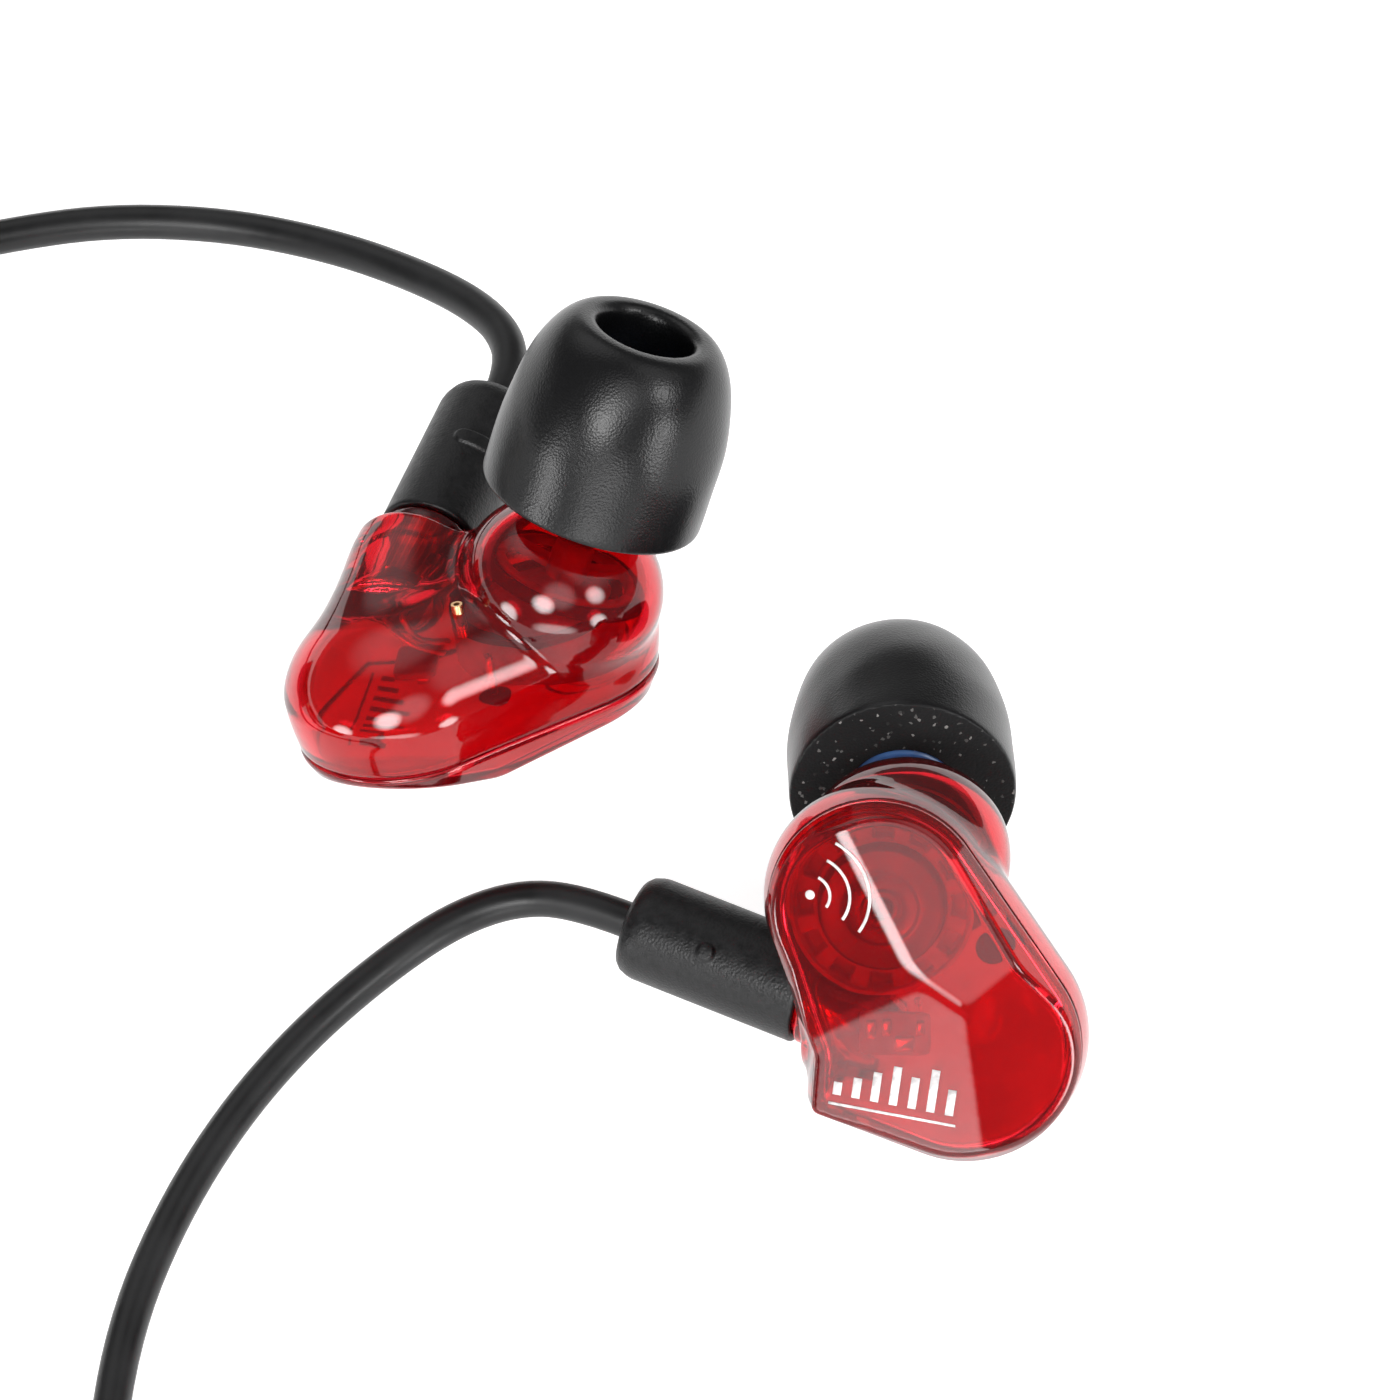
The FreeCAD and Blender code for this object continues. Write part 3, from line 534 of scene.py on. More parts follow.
def grain_group():
    """Fine cells of a moulded or leathery skin: the edge distance of cells laid over slow waves, as a
    height, and a slower mottling from 0 to 1 for roughness or colour."""
    if "Skin grain" in bpy.data.node_groups:
        return bpy.data.node_groups["Skin grain"]
    group, ends, out = group_frame("Skin grain", [
        ("Vector", "NodeSocketVector", None), ("Cells", "NodeSocketFloat", 5000.0),
        ("Waves", "NodeSocketFloat", 600.0)])
    group.interface.new_socket("Height", in_out="OUTPUT", socket_type="NodeSocketFloat")
    group.interface.new_socket("Mottle", in_out="OUTPUT", socket_type="NodeSocketFloat")
    cells = add(group, "ShaderNodeTexVoronoi", {"Vector": ends.outputs[0], "Scale": ends.outputs[1]})
    waves = add(group, "ShaderNodeTexNoise", {"Vector": ends.outputs[0], "Scale": ends.outputs[2]},
                Detail=4.0)
    mix = add(group, "ShaderNodeMath", {0: waves.outputs["Fac"], 2: cells.outputs["Distance"]},
              operation="MULTIPLY_ADD")
    mix.inputs[1].default_value = 0.5
    group.links.new(mix.outputs[0], out.inputs[0])
    group.links.new(waves.outputs["Fac"], out.inputs[1])
    return group


def moulded(name, colour, rough, cells, waves, bump, spread=0.12, gloss=0.5):
    """An opaque moulded or rubbery finish: grain in the bump, mottled roughness and a slight shift of
    colour between light and dark grain."""
    material, tree, shader = node_tree(name)
    at = add(tree, "ShaderNodeTexCoord").outputs["Object"]
    grain = tree.nodes.new("ShaderNodeGroup")
    grain.node_tree = grain_group()
    tree.links.new(at, grain.inputs["Vector"])
    grain.inputs["Cells"].default_value = cells
    grain.inputs["Waves"].default_value = waves
    height = add(tree, "ShaderNodeBump", {"Height": grain.outputs["Height"]}, Strength=bump,
                 Distance=0.00004)
    tree.links.new(height.outputs[0], shader.inputs["Normal"])
    dark = tuple(c * 0.8 for c in colour)
    light = tuple(min(c * 1.3 + 0.004, 1) for c in colour)
    tint = ramp(tree, grain.outputs["Mottle"], [(0.35, dark), (0.65, light)])
    tree.links.new(tint, shader.inputs["Base Color"])
    limits = add(tree, "ShaderNodeMapRange", {"Value": grain.outputs["Mottle"]})
    for label, value in (("From Min", 0.3), ("From Max", 0.7), ("To Min", rough - spread / 2),
                         ("To Max", rough + spread / 2)):
        limits.inputs[label].default_value = value
    tree.links.new(limits.outputs[0], shader.inputs["Roughness"])
    shader.inputs["Specular IOR Level"].default_value = gloss
    return material


def resin(name, colour, rough):
    """Clear tinted resin: glass with the tint on its faces, and the faintest ripple. The tint is darkened
    where the faces are seen edge on: painted shade that stands for the longer path through the resin.
    """
    material, tree, shader = node_tree(name)
    at = add(tree, "ShaderNodeTexCoord").outputs["Object"]
    cloud = add(tree, "ShaderNodeTexNoise", {"Vector": at}, Scale=180.0, Detail=3.0)
    deep = tuple(c * 0.8 for c in colour)
    tint = ramp(tree, cloud.outputs["Fac"], [(0.35, deep), (0.6, colour)])
    # painted shade: the tint turns dark where the faces are seen edge on, standing for the longer path
    # through the resin at the shells' rims
    rim = add(tree, "ShaderNodeLayerWeight", Blend=0.4).outputs["Facing"]
    edge = ramp(tree, rim, [(0.58, (0.0, 0.0, 0.0)), (0.95, (1.0, 1.0, 1.0))])
    dark = tuple(c * 0.16 + 0.006 for c in colour)
    tint = add(tree, "ShaderNodeMix", {0: edge, 6: tint}, data_type="RGBA")
    tint.inputs[7].default_value = (*dark, 1)
    tree.links.new(tint.outputs[2], shader.inputs["Base Color"])
    ripple = add(tree, "ShaderNodeBump", {"Height": cloud.outputs["Fac"]}, Strength=0.06,
                 Distance=0.0002)
    tree.links.new(ripple.outputs[0], shader.inputs["Normal"])
    shader.inputs["Roughness"].default_value = rough
    shader.inputs["IOR"].default_value = 1.49
    shader.inputs["Transmission Weight"].default_value = 0.93
    return material


def metal(name, colour, rough, scratches=900.0):
    """A plated or drawn metal with fine wear in its roughness and bump."""
    material, tree, shader = node_tree(name)
    at = add(tree, "ShaderNodeTexCoord").outputs["Object"]
    wear = add(tree, "ShaderNodeTexNoise", {"Vector": at}, Scale=scratches, Detail=5.0)
    dull = tuple(c * 0.72 for c in colour)
    tint = ramp(tree, wear.outputs["Fac"], [(0.3, dull), (0.55, colour)])
    tree.links.new(tint, shader.inputs["Base Color"])
    limits = add(tree, "ShaderNodeMapRange", {"Value": wear.outputs["Fac"]})
    limits.inputs["To Min"].default_value = rough * 0.6
    limits.inputs["To Max"].default_value = rough * 1.6
    tree.links.new(limits.outputs[0], shader.inputs["Roughness"])
    bump = add(tree, "ShaderNodeBump", {"Height": wear.outputs["Fac"]}, Strength=0.12, Distance=0.00003)
    tree.links.new(bump.outputs[0], shader.inputs["Normal"])
    shader.inputs["Metallic"].default_value = 1.0
    return material


def foam_material(name, colour):
    """Slow-return foam: a satin skin with leathery grain, and open cells where the attribute "cut" is 1, on
    its
    rear face, with painted glints: tiny bright specks in their colour that stand for highlights."""
    material, tree, shader = node_tree(name)
    at = add(tree, "ShaderNodeTexCoord").outputs["Object"]
    cut = add(tree, "ShaderNodeAttribute", attribute_name="cut").outputs["Fac"]
    grain = tree.nodes.new("ShaderNodeGroup")
    grain.node_tree = grain_group()
    tree.links.new(at, grain.inputs["Vector"])
    grain.inputs["Cells"].default_value = 8000.0
    grain.inputs["Waves"].default_value = 3200.0
    pores = add(tree, "ShaderNodeTexVoronoi", {"Vector": at}, Scale=6500.0)
    pore_height = add(tree, "ShaderNodeMath", {0: pores.outputs["Distance"]}, operation="MULTIPLY")
    pore_height.inputs[1].default_value = -4.0
    height = add(tree, "ShaderNodeMix", {0: cut, 2: grain.outputs["Height"], 3: pore_height.outputs[0]})
    bump = add(tree, "ShaderNodeBump", {"Height": height.outputs[0]}, Strength=0.3, Distance=0.00003)
    tree.links.new(bump.outputs[0], shader.inputs["Normal"])
    dull, deep = (tuple(c * share for c in colour) for share in (0.7, 0.6))
    skin_colour = ramp(tree, grain.outputs["Mottle"], [(0.3, dull), (0.7, colour)])
    # painted glints: sparse bright grey specks in the cut face's colour stand for highlights on the open
    # cells
    painted_glints = ramp(tree, pores.outputs["Color"], [(0.86, deep), (0.99, (0.3, 0.29, 0.28))])
    tint = add(tree, "ShaderNodeMix", {0: cut, 6: skin_colour, 7: painted_glints}, data_type="RGBA")
    tree.links.new(tint.outputs[2], shader.inputs["Base Color"])
    shader.inputs["Specular IOR Level"].default_value = 0.35
    rough = add(tree, "ShaderNodeMapRange", {"Value": cut})
    rough.inputs["To Min"].default_value = 0.29
    rough.inputs["To Max"].default_value = 0.85
    tree.links.new(rough.outputs[0], shader.inputs["Roughness"])
    return material


def woven(name, colour):
    """A woven strap: two crossing sets of threads."""
    material, tree, shader = node_tree(name)
    at = add(tree, "ShaderNodeTexCoord").outputs["Object"]
    warp, weft = (add(tree, "ShaderNodeTexWave", {"Vector": at}, bands_direction=way, Scale=900.0)
                  for way in ("X", "Z"))
    both = add(tree, "ShaderNodeMath", {0: warp.outputs["Fac"], 1: weft.outputs["Fac"]}, operation="ADD")
    bump = add(tree, "ShaderNodeBump", {"Height": both.outputs[0]}, Strength=0.5, Distance=0.00008)
    tree.links.new(bump.outputs[0], shader.inputs["Normal"])
    light = tuple(c * 1.8 for c in colour)
    tint = ramp(tree, both.outputs[0], [(0.2, colour), (1.0, light)])
    tree.links.new(tint, shader.inputs["Base Color"])
    shader.inputs["Roughness"].default_value = 0.8
    shader.inputs["Sheen Weight"].default_value = 0.3
    return material


# Finishes by name. Moulded ones: colour, roughness, cells, waves, bump and gloss; metals: colour and
# roughness
MOULDINGS = {
    "Core tube": ((0.03, 0.1, 0.28), 0.35, 3000.0, 500.0, 0.1, 0.5),
    "Barrel": ((0.004, 0.004, 0.0045), 0.42, 7000.0, 2600.0, 0.35, 0.35),
    "Clip plastic": ((0.014, 0.014, 0.015), 0.5, 3500.0, 500.0, 0.35, 0.5),
    "Relief rubber": ((0.012, 0.012, 0.012), 0.55, 3000.0, 400.0, 0.2, 0.5),
    "Dark moulding": ((0.05, 0.012, 0.012), 0.4, 3000.0, 500.0, 0.2, 0.5),
    "Basket moulding": ((0.62, 0.17, 0.08), 0.3, 3000.0, 500.0, 0.2, 0.5),
    "Board": ((0.55, 0.2, 0.09), 0.35, 3000.0, 600.0, 0.1, 0.5),
    "Gasket": ((0.02, 0.02, 0.02), 0.8, 5000.0, 800.0, 0.6, 0.5),
    "Film": ((0.6, 0.42, 0.25), 0.25, 1500.0, 300.0, 0.1, 0.5),
}
METALS = {
    "Gold plate": ((0.95, 0.68, 0.32), 0.18),
    "Brass": ((0.90, 0.56, 0.28), 0.25),
    "Copper": ((0.95, 0.42, 0.22), 0.28),
    "Plated steel": ((0.62, 0.60, 0.58), 0.22),
    "Dark steel": ((0.2, 0.18, 0.18), 0.34),
    "Mesh steel": ((0.55, 0.54, 0.52), 0.3),
}


def finish(name):
    """The material of that name, made the first time it is asked for."""
    if name in bpy.data.materials:
        return bpy.data.materials[name]
    look = bpy.context.scene.monitor_look
    if name in MOULDINGS:
        *values, gloss = MOULDINGS[name]
        return moulded(name, *values, gloss=gloss)
    if name in METALS:
        return metal(name, *METALS[name])
    if name == "Red resin":
        return resin(name, tuple(look.resin_colour), 0.05)
    if name == "Jacket":
        return moulded(name, tuple(look.rubber_colour), 0.4, 2600.0, 300.0, 0.1, gloss=0.35)
    if name == "White print":
        return moulded(name, tuple(look.print_colour), 0.6, 9000.0, 2500.0, 0.3)
    if name == "Foam":
        return foam_material(name, (0.004, 0.004, 0.0045))
    if name == "Strap":
        return woven(name, (0.02, 0.02, 0.021))
    raise KeyError(f"no finish is called {name}")


# ============================================= pieces ===============================================
def put(side, name, shape, material, body, stands_for=(), heal=True):
    """A piece drawn in a monitor's axes, on one side: carried to its place, riding its body. Faces of
    the mirrored side run the other way round."""
    points, faces = shape
    if side == "left":
        faces = faces[:, ::-1]
    piece = new_piece(f"{side}_{name}", to_row(side, points), faces, finish(material), heal)
    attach(piece, body)
    if stands_for:
        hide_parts(*[f"{side}_{node}" for node in stands_for])
    return piece


def strip(line, width, lift=0.0, thick=0.02):
    """A flat printed stroke on a facet: its middle line (x, y) given width, as a thin closed slab."""
    line = np.asarray(line, float)
    ahead = np.gradient(line, axis=0)
    ahead /= np.linalg.norm(ahead, axis=1, keepdims=True)
    side = np.stack((-ahead[:, 1], ahead[:, 0]), -1) * width / 2
    low = [np.c_[line + side, np.full(len(line), lift)], np.c_[line - side, np.full(len(line), lift)]]
    high = [low[1] + (0, 0, thick), low[0] + (0, 0, thick)]
    points, faces = loft(np.stack(low + high, 1))
    return points, faces


def joined(shapes):
    """Several shapes as one."""
    start, points, faces = 0, [], []
    for p, f in shapes:
        points.append(p)
        faces.append(f + start)
        start += len(p)
    return np.vstack(points), np.vstack(faces)


def on_facet(index, shape, at, angle):
    """A flat shape turned by an angle, put at (u, v) and laid on a facet's plane."""
    points, faces = shape
    c, s = math.cos(angle), math.sin(angle)
    u = at[0] + points[:, 0] * c - points[:, 1] * s
    v = at[1] + points[:, 0] * s + points[:, 1] * c
    height, a, b = FACETS[index]
    return np.stack((u, v, height + a * u + b * v + points[:, 2]), -1), faces


def printed_marks():
    """Generic print: three nested quarter rings with a dot on one facet, and a row of level bars over
    a base line on another."""
    shapes = []
    a = np.linspace(math.radians(-50), math.radians(50), 40)
    for radius in ARC_RADII:
        arc = np.stack((radius * np.cos(a), radius * np.sin(a)), -1)
        shapes.append(on_facet(0, strip(arc, ARC_WIDTH), ARC_AT, math.radians(ARC_TURN)))
    a = np.linspace(0, 2 * math.pi, 25)[:-1]
    dot = np.stack((DOT_R * np.cos(a), DOT_R * np.sin(a), np.zeros(24)), -1)
    shapes.append(on_facet(0, loft(np.stack((dot, dot + (0, 0, 0.02)))), ARC_AT, 0.0))
    turn = math.radians(BARS_TURN)
    for i, tall in enumerate(BARS):
        x = i * BAR_STEP
        bar = strip(np.array(((x, 0.25), (x, 0.25 + tall * 0.5), (x, 0.25 + tall))), BAR_WIDTH)
        shapes.append(on_facet(2, bar, BARS_AT, turn))
    base = strip(np.array(((-0.35, -0.25), (3.0, -0.25), (6.1, -0.25))), LINE_WIDTH)
    shapes.append(on_facet(2, base, BARS_AT, turn))
    return joined(shapes)


def build_shells():
    """Shell and faceplate of both monitors, with their print."""
    cell = 0.17
    shell = skin(shell_field, np.array((-7.6, -14.4, -15.2)), np.array((11.6, 10.2, 0.6)), cell)
    plate = skin(faceplate_field, np.array((-6.2, -13.6, -0.4)), np.array((11.0, 6.2, 4.0)), cell * 0.7)
    marks = printed_marks()
    for side in SIDES:
        body = f"{side}_monitor"
        put(side, "shell", shell, "Red resin", body, ("shell_body",), heal=False)
        put(side, "faceplate_gem", plate, "Red resin", body, ("faceplate",), heal=False)
        put(side, "print", marks, "White print", body)


def driver_rear():
    """The driver seen from behind: a yoke cup with a rounded edge and a vent hole, a shelf with a ring
    of vents like a gear, and a raised rim; height over the seam is a function of radius and angle."""
    x, y = DRIVER_AT
    cup = [(-2.2, YOKE_R), (0, YOKE_R), (0, YOKE_R - 0.5), (0.06, 1.9), (-0.05, 1.7), (-0.05, 1.0),
           (0.05, 0.9), (0.05, 0.55), (-0.3, 0.5), (-2.2, 0.5)]
    yoke = lathe(soften(cup), (x, y, DRIVER_REAR), (0, 0, 1), 128)
    r = np.linspace(YOKE_R + 0.02, DRIVER_R, 40)[:, None]
    a = (np.arange(360) * 2 * math.pi / 360)[None, :]
    teeth = np.clip(np.cos(a * VENTS) * 6 + 1.0, 0, 1)
    band = np.clip((r - YOKE_R - 0.2) * 12, 0, 1) * np.clip((DRIVER_R - 0.35 - r) * 12, 0, 1)
    rim = np.clip((r - DRIVER_R + 0.3) * 10, 0, 1)
    height = DRIVER_REAR - 0.9 - 1.1 * teeth * band + 0.25 * rim
    top = np.stack((x + r * np.cos(a), y + r * np.sin(a), height), -1)
    under = top.copy()
    under[..., 2] = DRIVER_REAR - 2.9
    sheet = np.concatenate((top, under[::-1], top[:1]))
    return yoke, (sheet.reshape(-1, 3), grid_faces(len(sheet), 360, wrap=True))


def slab(centre, axes, size, power=5.0):
    """A softly cornered block: superellipse sections along its third axis that draw in at both ends."""
    axes = np.array([unit(axis) for axis in axes])
    shape = superellipse(size[0], size[1], power, 32)
    rows = [(-0.5, 0.9), (-0.45, 1.0), (0.45, 1.0), (0.5, 0.9)]
    stack = np.stack([np.c_[shape * k, np.full(len(shape), t * size[2])] for t, k in rows])
    points, faces = loft(stack)
    return np.asarray(centre) + points @ axes, faces


def inner_bits():
    """Small pieces inside the shell: the three-armed spider in front of the driver with its hub tube,
    the crossover board with its parts, a brass post on its foot, the socket's dark keys, and a dark
    ring round the dome's seat: painted shade, a dark thing standing for the dark ring that the
    dome's refraction shows."""
    n = unit(NOZZLE_DIR)
    e1, e2 = across(n)
    seat = TIP_SEAT - n * SPIDER_BACK
    hub_line = [(-0.3, 0.75), (-0.3, 1.1), (1.9, 1.0), (1.9, 0.7), (-0.3, 0.75)]
    ring_line = [(-0.3, 3.2), (-0.3, 3.7), (0.25, 3.7), (0.25, 3.2), (-0.3, 3.2)]
    # painted shade: a dark ring round the dome's seat, standing for the dark ring that the dome's
    # refraction shows
    shade_ring_line = [(-0.5, 3.75), (-0.5, 4.3), (0.15, 4.3), (0.15, 3.75), (-0.5, 3.75)]
    hub = lathe(soften(hub_line, 1), seat, n, 64)
    ring = lathe(soften(ring_line, 1), seat, n, 96)
    shade_ring = lathe(soften(shade_ring_line, 1), seat, n, 96)
    arms = []
    for k in range(SPIDER_ARMS):
        a = k * 2 * math.pi / SPIDER_ARMS + 0.5
        way = e1 * math.cos(a) + e2 * math.sin(a)
        arms.append(slab(seat + way * 2.3, (np.cross(n, way), n, way), (0.95, 0.5, 2.7)))
    spider = joined([hub, ring] + arms)
    flat = np.eye(3)
    middle = np.array(BOARD_AT)
    board = slab(middle, flat, BOARD_SIZE, 8.0)
    parts = joined([slab(middle + (x, y, 0.4), flat, (w, h, 0.5), 6.0) for x, y, w, h in BOARD_PARTS])
    inward = (0, 0, -1)
    post_line = [(0, 0), (0, 0.24), (2.2, 0.24), (2.2, 0.12), (2.3, 0)]
    post = lathe(soften(post_line, 1), POST_AT, inward, 32)
    base = (POST_AT[0], POST_AT[1], -1.6)
    foot = lathe(soften([(0, 0), (0, 0.85), (0.35, 0.85), (0.35, 0)], 2), base, inward, 48)
    axis = unit(SOCKET_DIR)
    s1, s2 = across(axis)
    keys = []
    for along, turn in KEY_PLACES:
        out = s1 * math.cos(turn) + s2 * math.sin(turn)
        place = MOUTH + axis * along + out * KEY_OUT
        keys.append(slab(place, (np.cross(axis, out), axis, out), (0.8, 0.7, 0.5)))
    return spider, board, parts, post, joined([foot, shade_ring]), joined(keys)


INNER_FINISHES = {
    "driver_magnet": "Plated steel", "driver_pole_plate": "Plated steel", "voice_coil": "Copper",
    "driver_gasket": "Gasket", "lead_wires": "Copper", "vent_tube": "Brass", "nozzle_mesh": "Mesh steel",
    "jack_shell": "Gold plate", "jack_insulator": "Dark moulding", "jack_contact": "Gold plate",
    "plug_shell": "Gold plate", "plug_insulator": "Dark moulding", "plug_pin": "Gold plate",
    "snap_ring": "Gold plate",
}


def build_drivers():
    """The moving-coil drivers behind the faceplates."""
    yoke, basket = driver_rear()
    x, y = DRIVER_AT
    damper_line = [(0, 0), (0, 0.9), (-0.12, 0.9), (-0.12, 0)]
    damper = lathe(damper_line, (x, y, DRIVER_REAR - 0.1), (0, 0, 1), 48)
    cone = DRIVER_REAR - 2.6
    dome = [(-0.2 * (1 - (r / 2.4) ** 2) if r < 2.4 else 0.12 * math.sin((r - 2.4) / 1.6 * math.pi), r)
            for r in np.linspace(0, 4.0, 41)]
    dome += [(s + 0.1, r) for s, r in dome[::-1]]
    film = lathe([(s - 0.08, r) for s, r in dome], (x, y, cone), (0, 0, -1), 96)
    spider, board, parts, post, rings, keys = inner_bits()
    for side in SIDES:
        body = f"{side}_monitor"
        put(side, "front_spider", spider, "Basket moulding", body)
        put(side, "crossover_board", board, "Board", body)
        put(side, "crossover_parts", parts, "Plated steel", body)
        put(side, "brass_post", post, "Brass", body)
        # the brass post's foot, and the dark ring round the dome's seat, which is painted shade
        put(side, "post_foot_and_shade_ring", rings, "Gasket", body)
        put(side, "socket_keys", keys, "Gasket", body)
        put(side, "yoke_cup", yoke, "Dark steel", body, ("driver_yoke",))
        put(side, "basket_gear", basket, "Basket moulding", body, ("driver_basket",))
        put(side, "yoke_damper", damper, "Gasket", body)
        put(side, "cone_film", film, "Film", f"{side}_cone", ("driver_diaphragm",))
        for node, look in INNER_FINISHES.items():
            dress(f"{side}_{node}", look)


def dress(node, look):
    """A carried-over CAD node gets a finish."""
    slots = frame["nodes"][node].data.materials
    slots.clear()
    slots.append(finish(look))


def build_tips():
    """Foam tips with their core tubes. The foam's profile runs from the core over the cut rear face,
    up the side, over the nose and down the bore; a slow ripple keeps it from being turned."""
    bore = CORE_R + 0.05
    tip_r = round(bpy.context.scene.monitor_look.tip_radius / MM, 4)
    angles = np.linspace(0.05, math.pi / 2, 16)
    rear = [(0.0, CORE_R + CORE_WALL), (0.0, 4.2), (0.0, tip_r - 0.22), (0.08, tip_r - 0.05), (0.4, tip_r)]
    side = [(TIP_CROWN + (TIP_LEN - TIP_CROWN) * math.sin(a),
             TIP_NOSE_R + (tip_r - TIP_NOSE_R) * math.cos(a)) for a in angles]
    nose = [(TIP_LEN, 2.9), (TIP_LEN - 0.15, bore + 0.15), (TIP_LEN - 0.5, bore), (CORE_LEN, bore),
            (CORE_LEN, CORE_R + CORE_WALL), (0.0, CORE_R + CORE_WALL)]
    profile = soften(rear + side + nose, 2)

    def slack(s, a, r):
        """A slow ripple round the tip, and a little slack, that fade out towards its bore."""
        swing = 0.022 * np.sin(3 * a + 0.9 * s) + 0.012 * np.sin(5 * a - 1.7 * s)
        return (swing - 0.03) * np.clip((r - 3.2) / 2, 0, 1)

    foam = lathe(profile, TIP_SEAT, NOZZLE_DIR, 160, slack)
    core_out = CORE_R + CORE_WALL - 0.02
    tube = [(-0.05, CORE_R), (-0.05, core_out), (CORE_LEN, core_out), (CORE_LEN, CORE_R), (-0.05, CORE_R)]
    core = lathe(soften(tube, 1), TIP_SEAT, NOZZLE_DIR, 96)
    for side_name in SIDES:
        body = f"{side_name}_tip"
        tip = put(side_name, "foam", foam, "Foam", body, ("foam_tip",))
        places = np.empty(len(tip.data.vertices) * 3)
        tip.data.vertices.foreach_get("co", places)
        along = (places.reshape(-1, 3) - to_row(side_name, TIP_SEAT)) @ (
            unit(NOZZLE_DIR) @ monitor_axes(side_name)[0])
        mark = tip.data.attributes.new("cut", "FLOAT", "POINT")
        mark.data.foreach_set("value", (along < CUT_DEPTH * MM).astype(np.float32))
        put(side_name, "core", core, "Core tube", body, ("tip_core",))


def build_barrels():
    """The connector barrels: a drawn cylinder with a rounded cable end and a stepped mouth, and a
    raised touch mark that tells right from left by feel: a dot, or a bar."""
    mouth = BARREL_R - MOUTH_WALL
    rear = -BARREL_LEN
    step = -MOUTH_DEPTH
    profile = [(rear, 0.95), (rear, BARREL_R - 0.95), (rear + 0.2, BARREL_R - 0.28),
               (rear + 1.0, BARREL_R)]
    profile += [(s, BARREL_R) for s in np.arange(-8.6, -0.5, 0.1)]
    profile += [(-0.25, BARREL_R), (0, BARREL_R - 0.06), (0, mouth + 0.08), (-0.12, mouth), (step, mouth),
                (step, 1.25), (step - 2.9, 1.25), (step - 2.9, 0.95), (rear, 0.95)]
    profile = soften(profile, 1)

    def mark_of(side):
        """The touch mark of one side, as a ripple of the lathe."""
        middle = math.radians(look_angle(side))

        def mark(s, a, r):
            """A smooth rise round a point, or round a short line across the barrel on the left."""
            turn = (a - middle + math.pi) % (2 * math.pi) - math.pi
            x, y = turn * BARREL_R, s + 5.2
            if side == "left":
                x = np.sign(x) * np.maximum(np.abs(x) - 0.7, 0)
            far = np.hypot(x, y)
            rise = 0.5 * (1 + np.cos(math.pi * np.clip((far - 0.34) / 0.22, 0, 1)))
            return np.where(r > BARREL_R - 0.01, 0.2 * rise - 0.02, 0.0)
        return mark

    for side in SIDES:
        shape = lathe(profile, MOUTH, SOCKET_DIR, 160, mark_of(side))
        put(side, "barrel", shape, "Barrel", "cable", ("connector_barrel",))


def look_angle(side):
    """The angle round the barrel that faces up and forward, where its touch mark is."""
    axes = monitor_axes(side)[0]
    facing = axes @ unit(CAMERA_AWAY)
    e1, e2 = across(SOCKET_DIR)
    return math.degrees(math.atan2(facing @ e2, facing @ e1))


# ---- cords --------------------------------------------------------------------------------------------
def turns(middle, inner, diameter, cells, start, end, way):
    """Points of a coil. cells are the (column, level) of each full turn, between two outer half turns
    whose radii meet the routes; in each turn the cord lies in its cell but for a short climb from the
    last cell just after the start angle. start and end are in degrees, way is 1 or -1."""
    step = diameter + TURN_GAP
    extra = ((end - start) * way) % 360
    total = 360 * len(cells) + extra
    count = int(total // 24) + 1
    angles = np.linspace(0, total, count)
    points = []
    for angle in angles:
        turn = min(int(angle // 360), len(cells) - 1)
        column, level = cells[turn]
        before = cells[turn - 1] if turn else cells[0]
        t = min((angle - 360 * turn) / 90, 1)
        blend = t * t * (3 - 2 * t)
        column = before[0] + (column - before[0]) * blend
        level = before[1] + (level - before[1]) * blend
        if turn == len(cells) - 1 and angle > 360 * len(cells):
            level, column = cells[-1][1], cells[-1][0]
        a = math.radians(start + way * angle)
        r = inner + step * column
        points.append((middle[0] + r * math.cos(a), middle[1] + r * math.sin(a),
                       COIL_LIFT + step * (level + 0.5)))
    return points


def spline_cord(name, points, diameter):
    """A cord as one smooth open spline whose control points are the route's."""
    curve = bpy.data.curves.new(name, "CURVE")
    curve.dimensions = "3D"
    spline = curve.splines.new("NURBS")
    spline.points.add(len(points) - 1)
    spline.points.foreach_set("co", np.c_[np.array(points), np.ones(len(points))].ravel())
    spline.order_u = 3
    spline.use_endpoint_u = True
    spline.resolution_u = 6
    curve.bevel_depth = diameter / 2
    curve.bevel_resolution = 6
    curve.use_fill_caps = True
    curve.materials.append(finish("Jacket"))
    piece = bpy.data.objects.new(name, curve)
    bpy.context.scene.collection.objects.link(piece)
    return piece


def spline_length(points):
    """Length of the smooth curve of order 3 on these control points: for each three in a row, the
    quadratic piece between the middles of their two runs."""
    p = np.array(points, float)
    mids = (p[:-1] + p[1:]) / 2
    mids[0], mids[-1] = p[0], p[-1]
    t = np.linspace(0, 1, 9)[:, None, None]
    a, b, c = mids[:-1], p[1:-1], mids[1:]
    line = a * (1 - t) ** 2 + b * 2 * t * (1 - t) + c * t ** 2
    return float(np.linalg.norm(np.diff(line, axis=0), axis=-1).sum())


